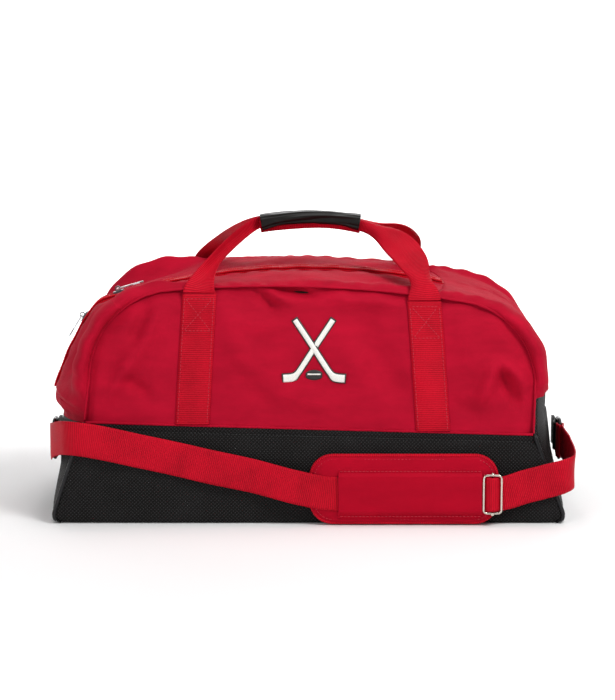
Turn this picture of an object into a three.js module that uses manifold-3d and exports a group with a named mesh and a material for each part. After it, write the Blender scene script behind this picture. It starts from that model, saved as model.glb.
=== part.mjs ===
import * as THREE from 'three';
import { mergeVertices } from 'three/addons/utils/BufferGeometryUtils.js';
import Module from 'manifold-3d';

// A soft holdall for ice hockey kit. X runs along the bag, Y from front to back, Z up. Millimetres.
// The origin is on the ground, in the middle of the bag.

// Overall sizes
const halfLengthLeft = 297;        // base corner, left of the origin
const halfLengthRight = 303;
const halfDepth = 150;             // at the ground
const crownTop = 284;              // top of the bag along its middle
const topTuck = 40;                // how much nearer the middle the front wall is at the top
const frontDrop = 10;              // the front panel's crown is this much below the bag's top
const backRise = 13;               // the back panel stands this much higher than the front
const seamLeft = 118;              // height of the black base at the left and right corners
const seamRight = 104;

// Cloth and clearances
const cloth = 2.4;
const gap = 0.3;
const seamRoom = 5;                // cloth kept back from a corner seam
const boardThickness = 3;
const boardMargin = 8;
const pipingRadius = 2.4;
const bindingRadius = 2;
const webbing = 1.7;               // webbing thickness
const webbingWidth = 40;

// Curves of the middle of the bag, where the zip runs, and of the front panel's edge
const crownRadius = 800;
const leftBendInset = 53.8;        // from the base corner in to where the crown turns down
const leftBendRadius = 30;
const endRadius = 360;
const endStart = -56;              // degrees from upright at which the left end's curve begins
const pouchHeight = 11;            // the gusset starts this far above the base seam
const zipFootHeight = 20;          // the zip starts this far above it
const zipHead = 12;                // degrees from upright of the zip's other end, on the crown
const midRightInset = 12;
const rightShoulderRadius = 102;
const frontCrownRadius = 1400;
const frontCrownX = -40;
const frontLeftInset = 45;
const frontRightInset = 37;
const frontLeftRadius = 100;
const frontRightRadius = 95;
const frontLeftFlare = 6;          // the foot of the front's left edge stands this far outside it
const frontRightTuck = 2;          // and the foot of its right edge this far inside
const endBelly = [9, 8];           // how far the left and right ends of the base bulge at the ground
const endTopInset = 1;             // the left end's middle is this far in at the base seam
const endTopStep = 8;              // the ends' middles meet the cloth this far below (left) or above (right)
const endTopLip = 2;               // the right end of the base stands this far outside the cloth

// Zip
const tapeHalf = 15;
const tapeThickness = 1.2;
const coilHalf = 3.1;
const coilHeight = 2;
const coilSplit = 0.25;
const sliderLength = 13;
const sliderWall = 2;
const sliderPlay = 0.4;
const bailEye = 2.3;
const bailWall = 1.3;
const bailThickness = 2.4;
const pullerLength = 34;
const pullerHalf = 4;
const pullerThickness = 1.7;
const pullerBar = 1.9;

// Carrying handles
const legLeft = [-132, -124];      // middle of the leg, at the base seam and at the crown
const legRight = [147, 137];
const legTopDrop = 6;
const loopLean = 0.06;             // slope of a loop towards the bag's middle where it leaves the leg
const gripMiddle = 5;
const gripLength = 122;
const gripCrown = crownTop + 60;
const gripRadius = 313;
const gripWallThickness = 3;
const foldedWidth = webbingWidth / 2 - 3; // the webbing is folded in two inside the grip
const foldedThickness = 3;
const foldedTilt = 38;             // degrees; the two handles lean together like a roof
const loopReachLeft = [28, 16];    // how far a loop carries on straight from the leg and from the grip
const loopReachRight = [44, 40];

// Shoulder strap, its rings, pad and adjuster
const ringY = -18;
const ringZ = 78;
const ringHalfWidth = 16;
const ringWire = 4.4;
const ringPlay = 1;                // between the ring's ends and the webbing's edges
const tabSlot = 14;
const tabWidth = webbingWidth - 6;
const tabLoop = ringWire + 1;
const foldLoop = ringWire + 1.4;
const foldLength = 7;
const padSize = [218, 81.5];
const padMiddle = [113, 42.5];
const padThickness = 9;
const padCorner = 26;
const sleeveLength = 166;
const sleeveMiddle = 120;
const sleeveHem = 6;
const sleeveWall = 1.6;
const sleevePlay = 3;              // between the strap's edges and the sleeve's hems
const strapInPadZ = 38;
const adjusterX = 215;
const adjusterLength = 23;
const adjusterWire = 2.6;
const adjusterPlay = 0.9;

// Emblem
const emblemMiddle = [9, 199];
const emblemThickness = 1;

const colours = {
  red: 0xb2162e,
  webbingRed: 0xbd102b,
  zipRed: 0xb5081f,
  black: 0x29251f,
  grip: 0x261f1c,
  board: 0x3a3a3a,
  chrome: 0xc9ccd0,
  darkMetal: 0x3c3c40,
  thread: 0xf2efe6,
};

const bag = new THREE.Group();
const wasm = await Module();
wasm.setup();

function add(name, geometry, colour, roughness = 0.8, metalness = 0) {
  const material = new THREE.MeshStandardMaterial({ color: colours[colour], roughness, metalness });
  const mesh = new THREE.Mesh(geometry, material);
  mesh.name = name;
  bag.add(mesh);
  return mesh;
}

const degrees = THREE.MathUtils.degToRad;
const toDegrees = THREE.MathUtils.radToDeg;
const mix = THREE.MathUtils.lerp;

// ---- general shapes ----

// A closed body between two grids of points that lie back to back.
function slab(outer, inner) {
  const rows = outer.length;
  const columns = outer[0].length;
  const count = rows * columns;
  const positions = [...outer.flat(), ...inner.flat()].flatMap((p) => [p.x, p.y, p.z]);
  const index = [];
  const quad = (a, b, c, d) => index.push(a, b, c, a, c, d);
  const at = (row, column) => row * columns + column;
  for (let r = 0; r < rows - 1; r++) {
    for (let c = 0; c < columns - 1; c++) {
      quad(at(r, c), at(r, c + 1), at(r + 1, c + 1), at(r + 1, c));
      quad(count + at(r, c), count + at(r + 1, c), count + at(r + 1, c + 1), count + at(r, c + 1));
    }
  }
  const border = [];
  for (let c = 0; c < columns - 1; c++) border.push(at(0, c));
  for (let r = 0; r < rows - 1; r++) border.push(at(r, columns - 1));
  for (let c = columns - 1; c > 0; c--) border.push(at(rows - 1, c));
  for (let r = rows - 1; r > 0; r--) border.push(at(r, 0));
  border.forEach((a, i) => {
    const b = border[(i + 1) % border.length];
    quad(b, a, count + a, count + b);
  });
  const geometry = new THREE.BufferGeometry();
  geometry.setAttribute('position', new THREE.Float32BufferAttribute(positions, 3));
  geometry.setIndex(index);
  return facingOut(geometry);
}

// Turns every face round if the body is inside out.
function facingOut(geometry) {
  const p = geometry.attributes.position;
  const index = geometry.index.array;
  const corner = (i) => new THREE.Vector3().fromBufferAttribute(p, index[i]);
  let volume = 0;
  for (let i = 0; i < index.length; i += 3) {
    volume += corner(i).dot(corner(i + 1).cross(corner(i + 2)));
  }
  if (volume < 0) {
    geometry.setIndex(Array.from(index).reverse());
  }
  return geometry;
}

// A wall of cloth: pointAt(a, b) is its outer face for a and b from 0 to 1.
// It thickens towards the bag's middle.
function wall(rows, columns, pointAt, thickness = cloth) {
  const middle = new THREE.Vector3(0, 0, 110);
  const step = 1e-3;
  const outer = [];
  const inner = [];
  for (let r = 0; r <= rows; r++) {
    outer.push([]);
    inner.push([]);
    for (let c = 0; c <= columns; c++) {
      const a = r / rows;
      const b = c / columns;
      const point = pointAt(a, b);
      const alongA = pointAt(Math.min(1, a + step), b).sub(pointAt(Math.max(0, a - step), b));
      const alongB = pointAt(a, Math.min(1, b + step)).sub(pointAt(a, Math.max(0, b - step)));
      const normal = alongA.cross(alongB).normalize();
      if (normal.dot(point.clone().sub(middle)) < 0) normal.negate();
      outer[r].push(point);
      inner[r].push(point.clone().addScaledVector(normal, -thickness));
    }
  }
  return slab(outer, inner);
}

// Webbing along a curve. acrossAt(t, tangent) gives its width direction, sizeAt(t) its width and thickness.
function ribbon(curve, steps, acrossAt, sizeAt = () => [webbingWidth, webbing]) {
  const front = [];
  const back = [];
  for (let i = 0; i <= steps; i++) {
    const t = i / steps;
    const [width, thickness] = sizeAt(t);
    const point = curve.getPoint(t);
    const tangent = curve.getTangent(t);
    const across = acrossAt(t, tangent);
    across.addScaledVector(tangent, -across.dot(tangent)).normalize();
    const normal = across.clone().cross(tangent).multiplyScalar(thickness / 2);
    const edges = [-0.5, 0.5].map((side) => point.clone().addScaledVector(across, side * width));
    front.push(edges.map((p) => p.clone().add(normal)));
    back.push(edges.map((p) => p.clone().sub(normal)));
  }
  return slab(front, back);
}

function roundedRectangle(width, height, radius, outline = new THREE.Shape()) {
  const x = width / 2;
  const y = height / 2;
  outline.moveTo(-x + radius, -y);
  outline.lineTo(x - radius, -y);
  outline.absarc(x - radius, -y + radius, radius, -Math.PI / 2, 0);
  outline.lineTo(x, y - radius);
  outline.absarc(x - radius, y - radius, radius, 0, Math.PI / 2);
  outline.lineTo(-x + radius, y);
  outline.absarc(-x + radius, y - radius, radius, Math.PI / 2, Math.PI);
  outline.lineTo(-x, -y + radius);
  outline.absarc(-x + radius, -y + radius, radius, Math.PI, Math.PI * 1.5);
  return outline;
}

// Extrudes an outline and centres its depth on zero. A chamfer is taken out of the outline and depth.
function plate(outline, depth, chamfer = 0, curveSegments = 6) {
  const geometry = new THREE.ExtrudeGeometry(outline, {
    depth: depth - 2 * chamfer,
    bevelEnabled: chamfer > 0,
    bevelThickness: chamfer,
    bevelSize: chamfer,
    bevelOffset: -chamfer,
    bevelSegments: 1,
    curveSegments,
  });
  return geometry.translate(0, 0, chamfer - depth / 2);
}

// A wire bent into a rounded rectangle, centred on its own middle.
function wireFrame(width, height, wire, radius) {
  const outline = roundedRectangle(width, height, radius);
  const insideRadius = radius - wire * 0.6;
  outline.holes.push(roundedRectangle(width - 2 * wire, height - 2 * wire, insideRadius, new THREE.Path()));
  return plate(outline, wire, wire * 0.29, 2);
}

function bareCopy(geometry) {
  const bare = geometry.clone();
  bare.deleteAttribute('normal');
  bare.deleteAttribute('uv');
  return bare;
}

function closedMesh(geometry) {
  const merged = mergeVertices(bareCopy(geometry), 1e-4);
  return new wasm.Manifold(new wasm.Mesh({
    numProp: 3,
    vertProperties: new Float32Array(merged.attributes.position.array),
    triVerts: new Uint32Array(merged.index.array),
  }));
}

function fromManifold(solid) {
  const mesh = solid.getMesh();
  const geometry = new THREE.BufferGeometry();
  geometry.setAttribute('position', new THREE.Float32BufferAttribute(Array.from(mesh.vertProperties), 3));
  geometry.setIndex(Array.from(mesh.triVerts));
  return geometry;
}

// ---- the bag's outer surface ----

// Half of the bag's depth at a height.
function depthAt(z) {
  return halfDepth - topTuck * Math.pow(Math.max(z, 0) / frontTop, 1.8);
}

const frontTop = crownTop - frontDrop;
const frontLeftX = frontLeftInset - halfLengthLeft;
const frontRightX = halfLengthRight - frontRightInset;
const frontCentreZ = frontTop - frontCrownRadius;
const frontLeftReach = frontCrownX - frontLeftX - frontLeftRadius;
const frontRightReach = frontRightX - frontRightRadius - frontCrownX;
const frontLeftTurn = Math.asin(frontLeftReach / (frontCrownRadius - frontLeftRadius));
const frontRightTurn = Math.asin(frontRightReach / (frontCrownRadius - frontRightRadius));
const frontLeftZ = frontCentreZ + (frontCrownRadius - frontLeftRadius) * Math.cos(frontLeftTurn);
const frontRightZ = frontCentreZ + (frontCrownRadius - frontRightRadius) * Math.cos(frontRightTurn);
const leftSplit = degrees(147);    // where the front's left shoulder meets the zip's tight bend
const leftSplitEnd = degrees(127);
const crownStart = Math.PI / 2 + frontLeftTurn;
const crownEnd = Math.PI / 2 - frontRightTurn;

const crownZ = crownTop - crownRadius;
const crownLeft = -toDegrees(Math.asin((halfLengthLeft - leftBendInset) / crownRadius));
const bendCentre = arcPoint([0, crownZ], crownRadius - leftBendRadius, crownLeft);
const bendFoot = arcPoint(bendCentre, leftBendRadius, endStart);
const endCentre = arcPoint(bendFoot, -endRadius, endStart);
const pouchEnd = -toDegrees(Math.acos((seamLeft + pouchHeight - endCentre[1]) / endRadius));
const zipFoot = -toDegrees(Math.acos((seamLeft + zipFootHeight - endCentre[1]) / endRadius));
const midRight = halfLengthRight - midRightInset;
const rightShoulderTurn = toDegrees(
  Math.asin((midRight - rightShoulderRadius) / (crownRadius - rightShoulderRadius)),
);
const rightCentre = arcPoint([0, crownZ], crownRadius - rightShoulderRadius, rightShoulderTurn);

// A point on a circle in the XZ plane, at an angle from upright.
function arcPoint(centre, radius, angle) {
  return [centre[0] + radius * Math.sin(degrees(angle)), centre[1] + radius * Math.cos(degrees(angle))];
}

function path(...build) {
  const line = new THREE.Path();
  build.forEach((step) => step(line));
  return line;
}
const from = (x, z) => (line) => line.moveTo(x, z);
const to = (x, z) => (line) => line.lineTo(x, z);
const arc = (x, z, r, a, b) => (line) => line.absarc(x, z, r, a, b, true);
const upright = (angle) => Math.PI / 2 - degrees(angle);

// The two rims of the wall that runs up one end, over the top and down the other end: the seam with the
// front panel, and the middle of the bag. Each is cut into the same seven stretches.
const frontRim = [
  path(from(-halfLengthLeft, 0), to(frontLeftX - frontLeftFlare, seamLeft)),
  path(from(frontLeftX - frontLeftFlare, seamLeft), to(frontLeftX, frontLeftZ),
    arc(frontLeftX + frontLeftRadius, frontLeftZ, frontLeftRadius, Math.PI, leftSplit)),
  path(arc(frontLeftX + frontLeftRadius, frontLeftZ, frontLeftRadius, leftSplit, leftSplitEnd)),
  path(arc(frontLeftX + frontLeftRadius, frontLeftZ, frontLeftRadius, leftSplitEnd, crownStart),
    arc(frontCrownX, frontCentreZ, frontCrownRadius, crownStart, crownEnd)),
  path(arc(frontRightX - frontRightRadius, frontRightZ, frontRightRadius, crownEnd, 0)),
  path(from(frontRightX, frontRightZ), to(frontRightX - frontRightTuck, seamRight)),
  path(from(frontRightX - frontRightTuck, seamRight), to(halfLengthRight, 0)),
];
const middleRim = [
  path(from(-halfLengthLeft - endBelly[0], 0), to(endTopInset - halfLengthLeft, seamLeft - endTopStep)),
  path(arc(...endCentre, endRadius, upright(pouchEnd), upright(endStart))),
  path(arc(...bendCentre, leftBendRadius, upright(endStart), upright(crownLeft))),
  path(arc(0, crownZ, crownRadius, upright(crownLeft), upright(rightShoulderTurn))),
  path(arc(...rightCentre, rightShoulderRadius, upright(rightShoulderTurn), upright(90))),
  path(from(midRight, rightCentre[1]), to(midRight, seamRight + endTopStep)),
  path(from(midRight + endTopLip, seamRight + endTopStep), to(halfLengthRight + endBelly[1], 0)),
];

// A place on a rim: whole numbers are the joins between its stretches.
function onRim(rim, station) {
  const stretch = Math.min(Math.floor(station), rim.length - 1);
  return rim[stretch].getPointAt(THREE.MathUtils.clamp(station - stretch, 0, 1));
}

// The end and top wall, at a station along it and a distance y from the bag's middle.
function aroundPoint(station, y) {
  const front = onRim(frontRim, station);
  const middle = onRim(middleRim, station);
  const depth = depthAt(front.y);
  const share = y / depth;
  const raise = backRise * Math.max(0, (front.y - seamLeft) / (frontTop - seamLeft));
  const rimZ = front.y + raise * (share + 1) / 2;
  const bulge = 1 - share * share;
  return new THREE.Vector3(
    front.x + (middle.x - front.x) * bulge,
    y,
    rimZ + (middle.y - front.y - raise / 2) * bulge,
  );
}

// Part of that wall. lower and upper give the limits of y from the depth at the station.
function aroundWall(start, end, lower, upper, rows, columns) {
  return wall(rows, columns, (a, b) => {
    const station = mix(start, end, a);
    const depth = depthAt(onRim(frontRim, station).y);
    return aroundPoint(station, mix(lower(depth), upper(depth), b));
  });
}
const atFront = (depth) => seamRoom - depth;
const atBack = (depth) => depth - seamRoom;
const atZip = (side) => () => side * (tapeHalf + gap);

function seamHeight(x) {
  return mix(seamLeft, seamRight, (x - frontLeftX) / (frontRightX - frontLeftX));
}

// Places on the rims: just above the ground at the left and right, and the base's top at each end.
const groundLeft = 0.04;
const groundRight = 6.96;
const baseTopLeft = 0.99;
const baseTopRight = 5.3;

// ---- base ----

function basePanel(thickness, shrink, z) {
  const left = -halfLengthLeft + shrink;
  const right = halfLengthRight - shrink;
  const y = halfDepth - shrink;
  const outline = new THREE.Shape();
  outline.moveTo(left, -y);
  outline.lineTo(right, -y);
  outline.quadraticCurveTo(right + 16, 0, right, y);
  outline.lineTo(left, y);
  outline.quadraticCurveTo(left - 18, 0, left, -y);
  return plate(outline, thickness, 0, 6).translate(0, 0, z + thickness / 2);
}

// A front or back wall of the black base, from just above the ground to its seam.
function baseBand(side) {
  return wall(3, 8, (a, b) => {
    const left = onRim(frontRim, mix(0.03, 1 - gap / seamLeft, a));
    const right = onRim(frontRim, mix(6.97, 6 + gap / seamLeft, a));
    const x = mix(left.x + seamRoom, right.x - seamRoom, b);
    const z = mix(left.y, right.y, b);
    return new THREE.Vector3(x, side * depthAt(z), z);
  });
}

// Piping up one corner of the base.
function cornerPiping(rimEnd, side) {
  const [low, high] = rimEnd === 'left' ? [groundLeft, 0.96] : [groundRight, 6.04];
  const points = [0, 0.5, 1].map((t) => {
    const p = onRim(frontRim, mix(low, high, t));
    return new THREE.Vector3(p.x, side * depthAt(p.y), p.y);
  });
  const circle = new THREE.Shape().absarc(0, 0, pipingRadius, 0, Math.PI * 2);
  return new THREE.ExtrudeGeometry(circle, {
    extrudePath: new THREE.CatmullRomCurve3(points),
    steps: 4,
    curveSegments: 4,
  });
}

add('base_panel', basePanel(cloth, 0, 0), 'black');
add('base_board', basePanel(boardThickness, boardMargin, cloth + gap), 'board');
add('base_band_front', baseBand(-1), 'black');
add('base_band_back', baseBand(1), 'black');
add('end_panel_left', aroundWall(groundLeft, baseTopLeft, atFront, atBack, 3, 10), 'black');
add('end_panel_right', aroundWall(groundRight, baseTopRight, atFront, atBack, 6, 10), 'black');
for (const [word, side] of [['front', -1], ['back', 1]]) {
  for (const rimEnd of ['left', 'right']) {
    add(`corner_piping_${word}_${rimEnd}`, cornerPiping(rimEnd, side), 'black', 0.5);
  }
}

// ---- red panels ----

function archPanel(side) {
  return wall(6, 24, (a, b) => {
    const rim = onRim(frontRim, mix(1.12, 5.88, b));
    const footX = mix(frontLeftX - 4, frontRightX - 3, b);
    const foot = seamHeight(footX) + gap;
    const rise = side > 0 ? backRise * (rim.y - seamLeft) / (frontTop - seamLeft) : 0;
    const x = mix(footX, rim.x, a);
    const z = mix(foot, rim.y - 1, a);
    return new THREE.Vector3(x, side * depthAt(z), z + rise * a);
  });
}

// Bound seam allowance inside the bag, along the arch.
function seamBinding(side) {
  const points = [];
  for (let station = 1.2; station <= 5.8; station += 0.2) {
    const p = onRim(frontRim, station);
    const inward = new THREE.Vector2(-p.x, seamLeft - p.y).normalize().multiplyScalar(9);
    const rise = side > 0 ? backRise * (p.y - seamLeft) / (frontTop - seamLeft) : 0;
    points.push(new THREE.Vector3(p.x + inward.x, side * (depthAt(p.y) - 9), p.y + rise + inward.y));
  }
  return new THREE.ExtrudeGeometry(new THREE.Shape().absarc(0, 0, bindingRadius, 0, Math.PI * 2), {
    extrudePath: new THREE.CatmullRomCurve3(points),
    steps: 30,
    curveSegments: 3,
  });
}

const zipStation = {
  foot: 1 + (zipFoot - pouchEnd) / (endStart - pouchEnd),
  head: 3 + (zipHead - crownLeft) / (rightShoulderTurn - crownLeft),
};

add('front_panel', archPanel(-1), 'red');
add('back_panel', archPanel(1), 'red');
add('seam_binding_front', seamBinding(-1), 'black');
add('seam_binding_back', seamBinding(1), 'black');
add('gusset_front', aroundWall(zipStation.foot, zipStation.head, atFront, atZip(-1), 34, 4), 'red');
add('gusset_back', aroundWall(zipStation.foot, zipStation.head, atZip(1), atBack, 34, 4), 'red');
add('gusset_right', aroundWall(zipStation.head + 0.004, baseTopRight - 0.01, atFront, atBack, 12, 8), 'red');
add('gusset_left_foot', aroundWall(1.02, zipStation.foot - 0.004, atFront, atBack, 2, 10), 'red');

// ---- zip ----

// A strip that follows the zip's line: radial limits are from that line, y limits from the bag's middle.
function alongZip(inside, outside, y0, y1, start = zipFoot, end = zipHead) {
  const outline = new THREE.Shape();
  outline.absarc(...endCentre, endRadius + outside, upright(start), upright(endStart), true);
  outline.absarc(...bendCentre, leftBendRadius + outside, upright(endStart), upright(crownLeft), true);
  outline.absarc(0, crownZ, crownRadius + outside, upright(crownLeft), upright(end), true);
  outline.absarc(0, crownZ, crownRadius + inside, upright(end), upright(crownLeft), false);
  outline.absarc(...bendCentre, leftBendRadius + inside, upright(crownLeft), upright(endStart), false);
  outline.absarc(...endCentre, endRadius + inside, upright(endStart), upright(start), false);
  const geometry = plate(outline, y1 - y0, 0, 12).rotateX(Math.PI / 2);
  return geometry.translate(0, (y0 + y1) / 2, 0);
}

// A stretch of the zip's band on one arc.
function onArc(centre, radius, inside, outside, y0, y1, start, end) {
  const outline = new THREE.Shape();
  outline.absarc(...centre, radius + outside, upright(start), upright(end), true);
  outline.absarc(...centre, radius + inside, upright(end), upright(start), false);
  const geometry = plate(outline, y1 - y0, 0, 4).rotateX(Math.PI / 2);
  return geometry.translate(0, (y0 + y1) / 2, 0);
}

const tapeTop = tapeThickness / 2;
const coilFoot = tapeTop + gap;
const coilTop = coilFoot + coilHeight;
add('zip_tape_front', alongZip(-tapeTop, tapeTop, -tapeHalf, -coilHalf * 0.3), 'zipRed', 0.7);
add('zip_tape_back', alongZip(-tapeTop, tapeTop, coilHalf * 0.3, tapeHalf), 'zipRed', 0.7);
const zipCoil = (y0, y1) => alongZip(coilFoot, coilTop, y0, y1, zipFoot + 2, zipHead - 1);
add('zip_coil_front', zipCoil(-coilHalf, -coilSplit), 'zipRed', 0.5);
add('zip_coil_back', zipCoil(coilSplit, coilHalf), 'zipRed', 0.5);
const tabRise = coilFoot + 0.2;
add('zip_end_tab_left', onArc(endCentre, endRadius, tabRise, tabRise + 2, -tapeHalf, tapeHalf,
  zipFoot + 0.1, zipFoot + 1.8), 'red');
add('zip_end_tab_right', onArc([0, crownZ], crownRadius, tabRise, tabRise + 2, -tapeHalf, tapeHalf,
  zipHead - 0.9, zipHead - 0.1), 'red');

const sliderRoof = coilTop + sliderPlay;
const sliderHalf = coilHalf + 0.5 + sliderWall;
const bailHeight = sliderRoof + sliderWall + bailEye; // middle of the eye above the zip's line

// Slider: a channel over the coil with an eye on top for the puller. Built at the top of a circle of radius.
function slider(radius) {
  const channel = new THREE.Shape();
  const foot = tapeTop + sliderPlay;
  const top = sliderRoof + sliderWall;
  channel.moveTo(-sliderHalf, foot);
  channel.lineTo(-coilHalf - 0.5, foot);
  channel.lineTo(-coilHalf - 0.5, sliderRoof);
  channel.lineTo(coilHalf + 0.5, sliderRoof);
  channel.lineTo(coilHalf + 0.5, foot);
  channel.lineTo(sliderHalf, foot);
  channel.lineTo(sliderHalf, top - 0.8);
  channel.lineTo(sliderHalf - 1, top);
  channel.lineTo(-sliderHalf + 1, top);
  channel.lineTo(-sliderHalf, top - 0.8);
  const body = new THREE.ExtrudeGeometry(channel, { depth: sliderLength, steps: 3, bevelEnabled: false });
  body.translate(0, 0, -sliderLength / 2).rotateX(Math.PI / 2).rotateZ(Math.PI / 2);
  bendOver(body, radius);
  const eye = new THREE.Shape().absarc(0, 0, bailEye + bailWall, 0, Math.PI * 2);
  eye.holes.push(new THREE.Path().absarc(0, 0, bailEye, 0, Math.PI * 2));
  const bail = plate(eye, bailThickness, 0, 6).rotateX(Math.PI / 2).translate(0, 0, bailHeight);
  const bridge = new THREE.BoxGeometry(6, bailThickness, 1.4).translate(0, 0, top);
  return fromManifold(closedMesh(body).add(closedMesh(bail)).add(closedMesh(bridge)));
}

// Bends a body that lies along X so that it follows the top of a circle below it.
function bendOver(geometry, radius) {
  const p = geometry.attributes.position;
  for (let i = 0; i < p.count; i++) {
    const angle = p.getX(i) / radius;
    const r = radius + p.getZ(i);
    p.setXYZ(i, r * Math.sin(angle), p.getY(i), r * Math.cos(angle) - radius);
  }
  return geometry;
}

// Puller: a flat tab whose end bar goes through the slider's eye. Built with that bar on the origin.
function puller() {
  const slotHalf = bailThickness / 2 + 0.9;
  const slotEnd = bailEye + bailWall + 3.9;
  const waist = pullerHalf * 0.65;
  const tipX = pullerLength - pullerHalf - 1.6;
  const outline = new THREE.Shape();
  outline.moveTo(-pullerBar / 2, -pullerHalf);
  outline.lineTo(slotEnd + 6, -pullerHalf);
  outline.quadraticCurveTo(slotEnd + 9, -waist, slotEnd + 12, -waist);
  outline.absarc(tipX, 0, pullerHalf + 0.6, -Math.PI / 2, Math.PI / 2);
  outline.lineTo(slotEnd + 12, waist);
  outline.quadraticCurveTo(slotEnd + 9, waist, slotEnd + 6, pullerHalf);
  outline.lineTo(-pullerBar / 2, pullerHalf);
  const slot = new THREE.Path();
  slot.moveTo(pullerBar / 2, -slotHalf);
  slot.lineTo(slotEnd, -slotHalf);
  slot.lineTo(slotEnd, slotHalf);
  slot.lineTo(pullerBar / 2, slotHalf);
  outline.holes.push(slot);
  outline.holes.push(new THREE.Path().absarc(tipX, 0, pullerHalf / 2, 0, Math.PI * 2));
  return plate(outline, pullerThickness, 0, 4);
}

// Puts a slider and its puller on an arc of the zip. lean turns the puller away from lying along +X.
function placeSlider(name, centre, radius, angle, towards) {
  const holder = new THREE.Group();
  const [x, z] = arcPoint(centre, radius, angle);
  holder.position.set(x, 0, z);
  holder.rotation.y = degrees(angle);
  bag.add(holder);
  holder.add(add(`zip_slider_${name}`, slider(radius), 'darkMetal', 0.35, 1));
  const pull = add(`zip_puller_${name}`, puller(), 'chrome', 0.25, 1);
  pull.position.z = bailHeight;
  pull.rotation.z = towards > 0 ? 0 : Math.PI;
  holder.add(pull);
}

placeSlider('end', endCentre, endRadius, endStart - 2.2, -1);
placeSlider('top', [0, crownZ], crownRadius, crownLeft + 1.2, 1);

// ---- carrying handles ----

// Webbing sewn up the front or back, from the base seam to the crown.
function handleLeg(line, side) {
  return wall(14, 1, (a, b) => {
    const middle = mix(line[0], line[1], a);
    const x = middle + (b - 0.5) * webbingWidth;
    const foot = seamHeight(middle) + 1;
    const rise = side > 0 ? backRise * a : 0;
    const z = mix(foot, legTop(line[1]), a);
    return new THREE.Vector3(x, side * (depthAt(z) + gap + webbing), z + rise);
  }, webbing);
}

// Top of a leg, just below the front panel's crown.
function legTop(x) {
  const dx = x - frontCrownX;
  return frontCentreZ + Math.sqrt(frontCrownRadius ** 2 - dx * dx) - legTopDrop;
}

const gripFoot = gripCrown - gripRadius;
const gripTurn = toDegrees(gripLength / 2 / gripRadius);
const foldedLean = degrees(foldedTilt);
const foldedReach = (foldedWidth * Math.cos(foldedLean) + foldedThickness * Math.sin(foldedLean)) / 2;
const foldedRise = (foldedWidth * Math.sin(foldedLean) + foldedThickness * Math.cos(foldedLean)) / 2;
const foldedOffset = foldedReach + 0.4; // from the middle of the grip to the middle of each handle
const gripHalfWidth = foldedOffset + foldedReach + 0.9 + gripWallThickness;
const gripHalfHeight = foldedRise + 1.1 + gripWallThickness;

// The end of the grip's webbing, to the left (-1) or right (1).
function gripEnd(direction) {
  const [x, z] = arcPoint([gripMiddle, gripFoot], gripRadius, direction * gripTurn);
  return new THREE.Vector3(x, 0, z);
}

// Free webbing from the top of a leg, turning over and folding in two to enter the grip.
function handleLoop(line, direction, side) {
  const z = legTop(line[1]);
  const lift = side > 0 ? backRise : 0;
  const low = new THREE.Vector3(line[1], side * (depthAt(z) + gap + webbing / 2), z + lift);
  const high = gripEnd(direction);
  high.y = side * foldedOffset;
  const rise = new THREE.Vector3(0, -side * loopLean, 1).normalize();
  const flat = new THREE.Vector3(Math.cos(degrees(gripTurn)), 0, -direction * Math.sin(degrees(gripTurn)));
  low.addScaledVector(rise, gap + 0.3);
  high.addScaledVector(flat, direction * gap);
  const [legReach, gripReach] = direction < 0 ? loopReachLeft : loopReachRight;
  const curve = new THREE.CubicBezierCurve3(
    low,
    low.clone().addScaledVector(rise, legReach),
    high.clone().addScaledVector(flat, direction * gripReach),
    high,
  );
  const across = new THREE.Vector3(1, 0, 0);
  const tilt = degrees(foldedTilt);
  const over = new THREE.Vector3(0, -side * direction * Math.cos(tilt), direction * Math.sin(tilt));
  return ribbon(curve, 16, (t) => {
    return across.clone().lerp(over, THREE.MathUtils.smoothstep(t, 0.05, 0.9));
  }, (t) => {
    const folding = THREE.MathUtils.smoothstep(t, 0.35, 0.95);
    return [mix(webbingWidth, foldedWidth, folding), mix(webbing, foldedThickness, folding)];
  });
}

function gripCore(side) {
  const core = new THREE.BoxGeometry(gripLength, foldedWidth, foldedThickness, 10, 1, 1);
  core.rotateX(-side * degrees(foldedTilt)).translate(0, side * foldedOffset, 0);
  return bendOver(core, gripRadius).translate(gripMiddle, 0, gripCrown);
}

// Padded wrap round both handles.
function gripWrap() {
  const hollow = [2 * (gripHalfWidth - gripWallThickness), 2 * (gripHalfHeight - gripWallThickness)];
  const section = roundedRectangle(2 * gripHalfWidth, 2 * gripHalfHeight, 8);
  section.holes.push(roundedRectangle(...hollow, 4, new THREE.Path()));
  const wrap = new THREE.ExtrudeGeometry(section, {
    depth: gripLength - 4,
    steps: 8,
    bevelEnabled: false,
    curveSegments: 2,
  });
  wrap.translate(0, 0, -(gripLength - 4) / 2).rotateX(Math.PI / 2).rotateZ(Math.PI / 2);
  return bendOver(wrap, gripRadius).translate(gripMiddle, 0, gripCrown);
}

for (const [word, side] of [['front', -1], ['back', 1]]) {
  for (const [end, line, direction] of [['left', legLeft, -1], ['right', legRight, 1]]) {
    add(`handle_leg_${word}_${end}`, handleLeg(line, side), 'webbingRed');
    add(`handle_loop_${word}_${end}`, handleLoop(line, direction, side), 'webbingRed');
  }
}
add('handle_core_front', gripCore(-1), 'webbingRed');
add('handle_core_back', gripCore(1), 'webbingRed');
add('handle_grip', gripWrap(), 'grip', 0.6);

// ---- strap rings and their tabs ----

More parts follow.
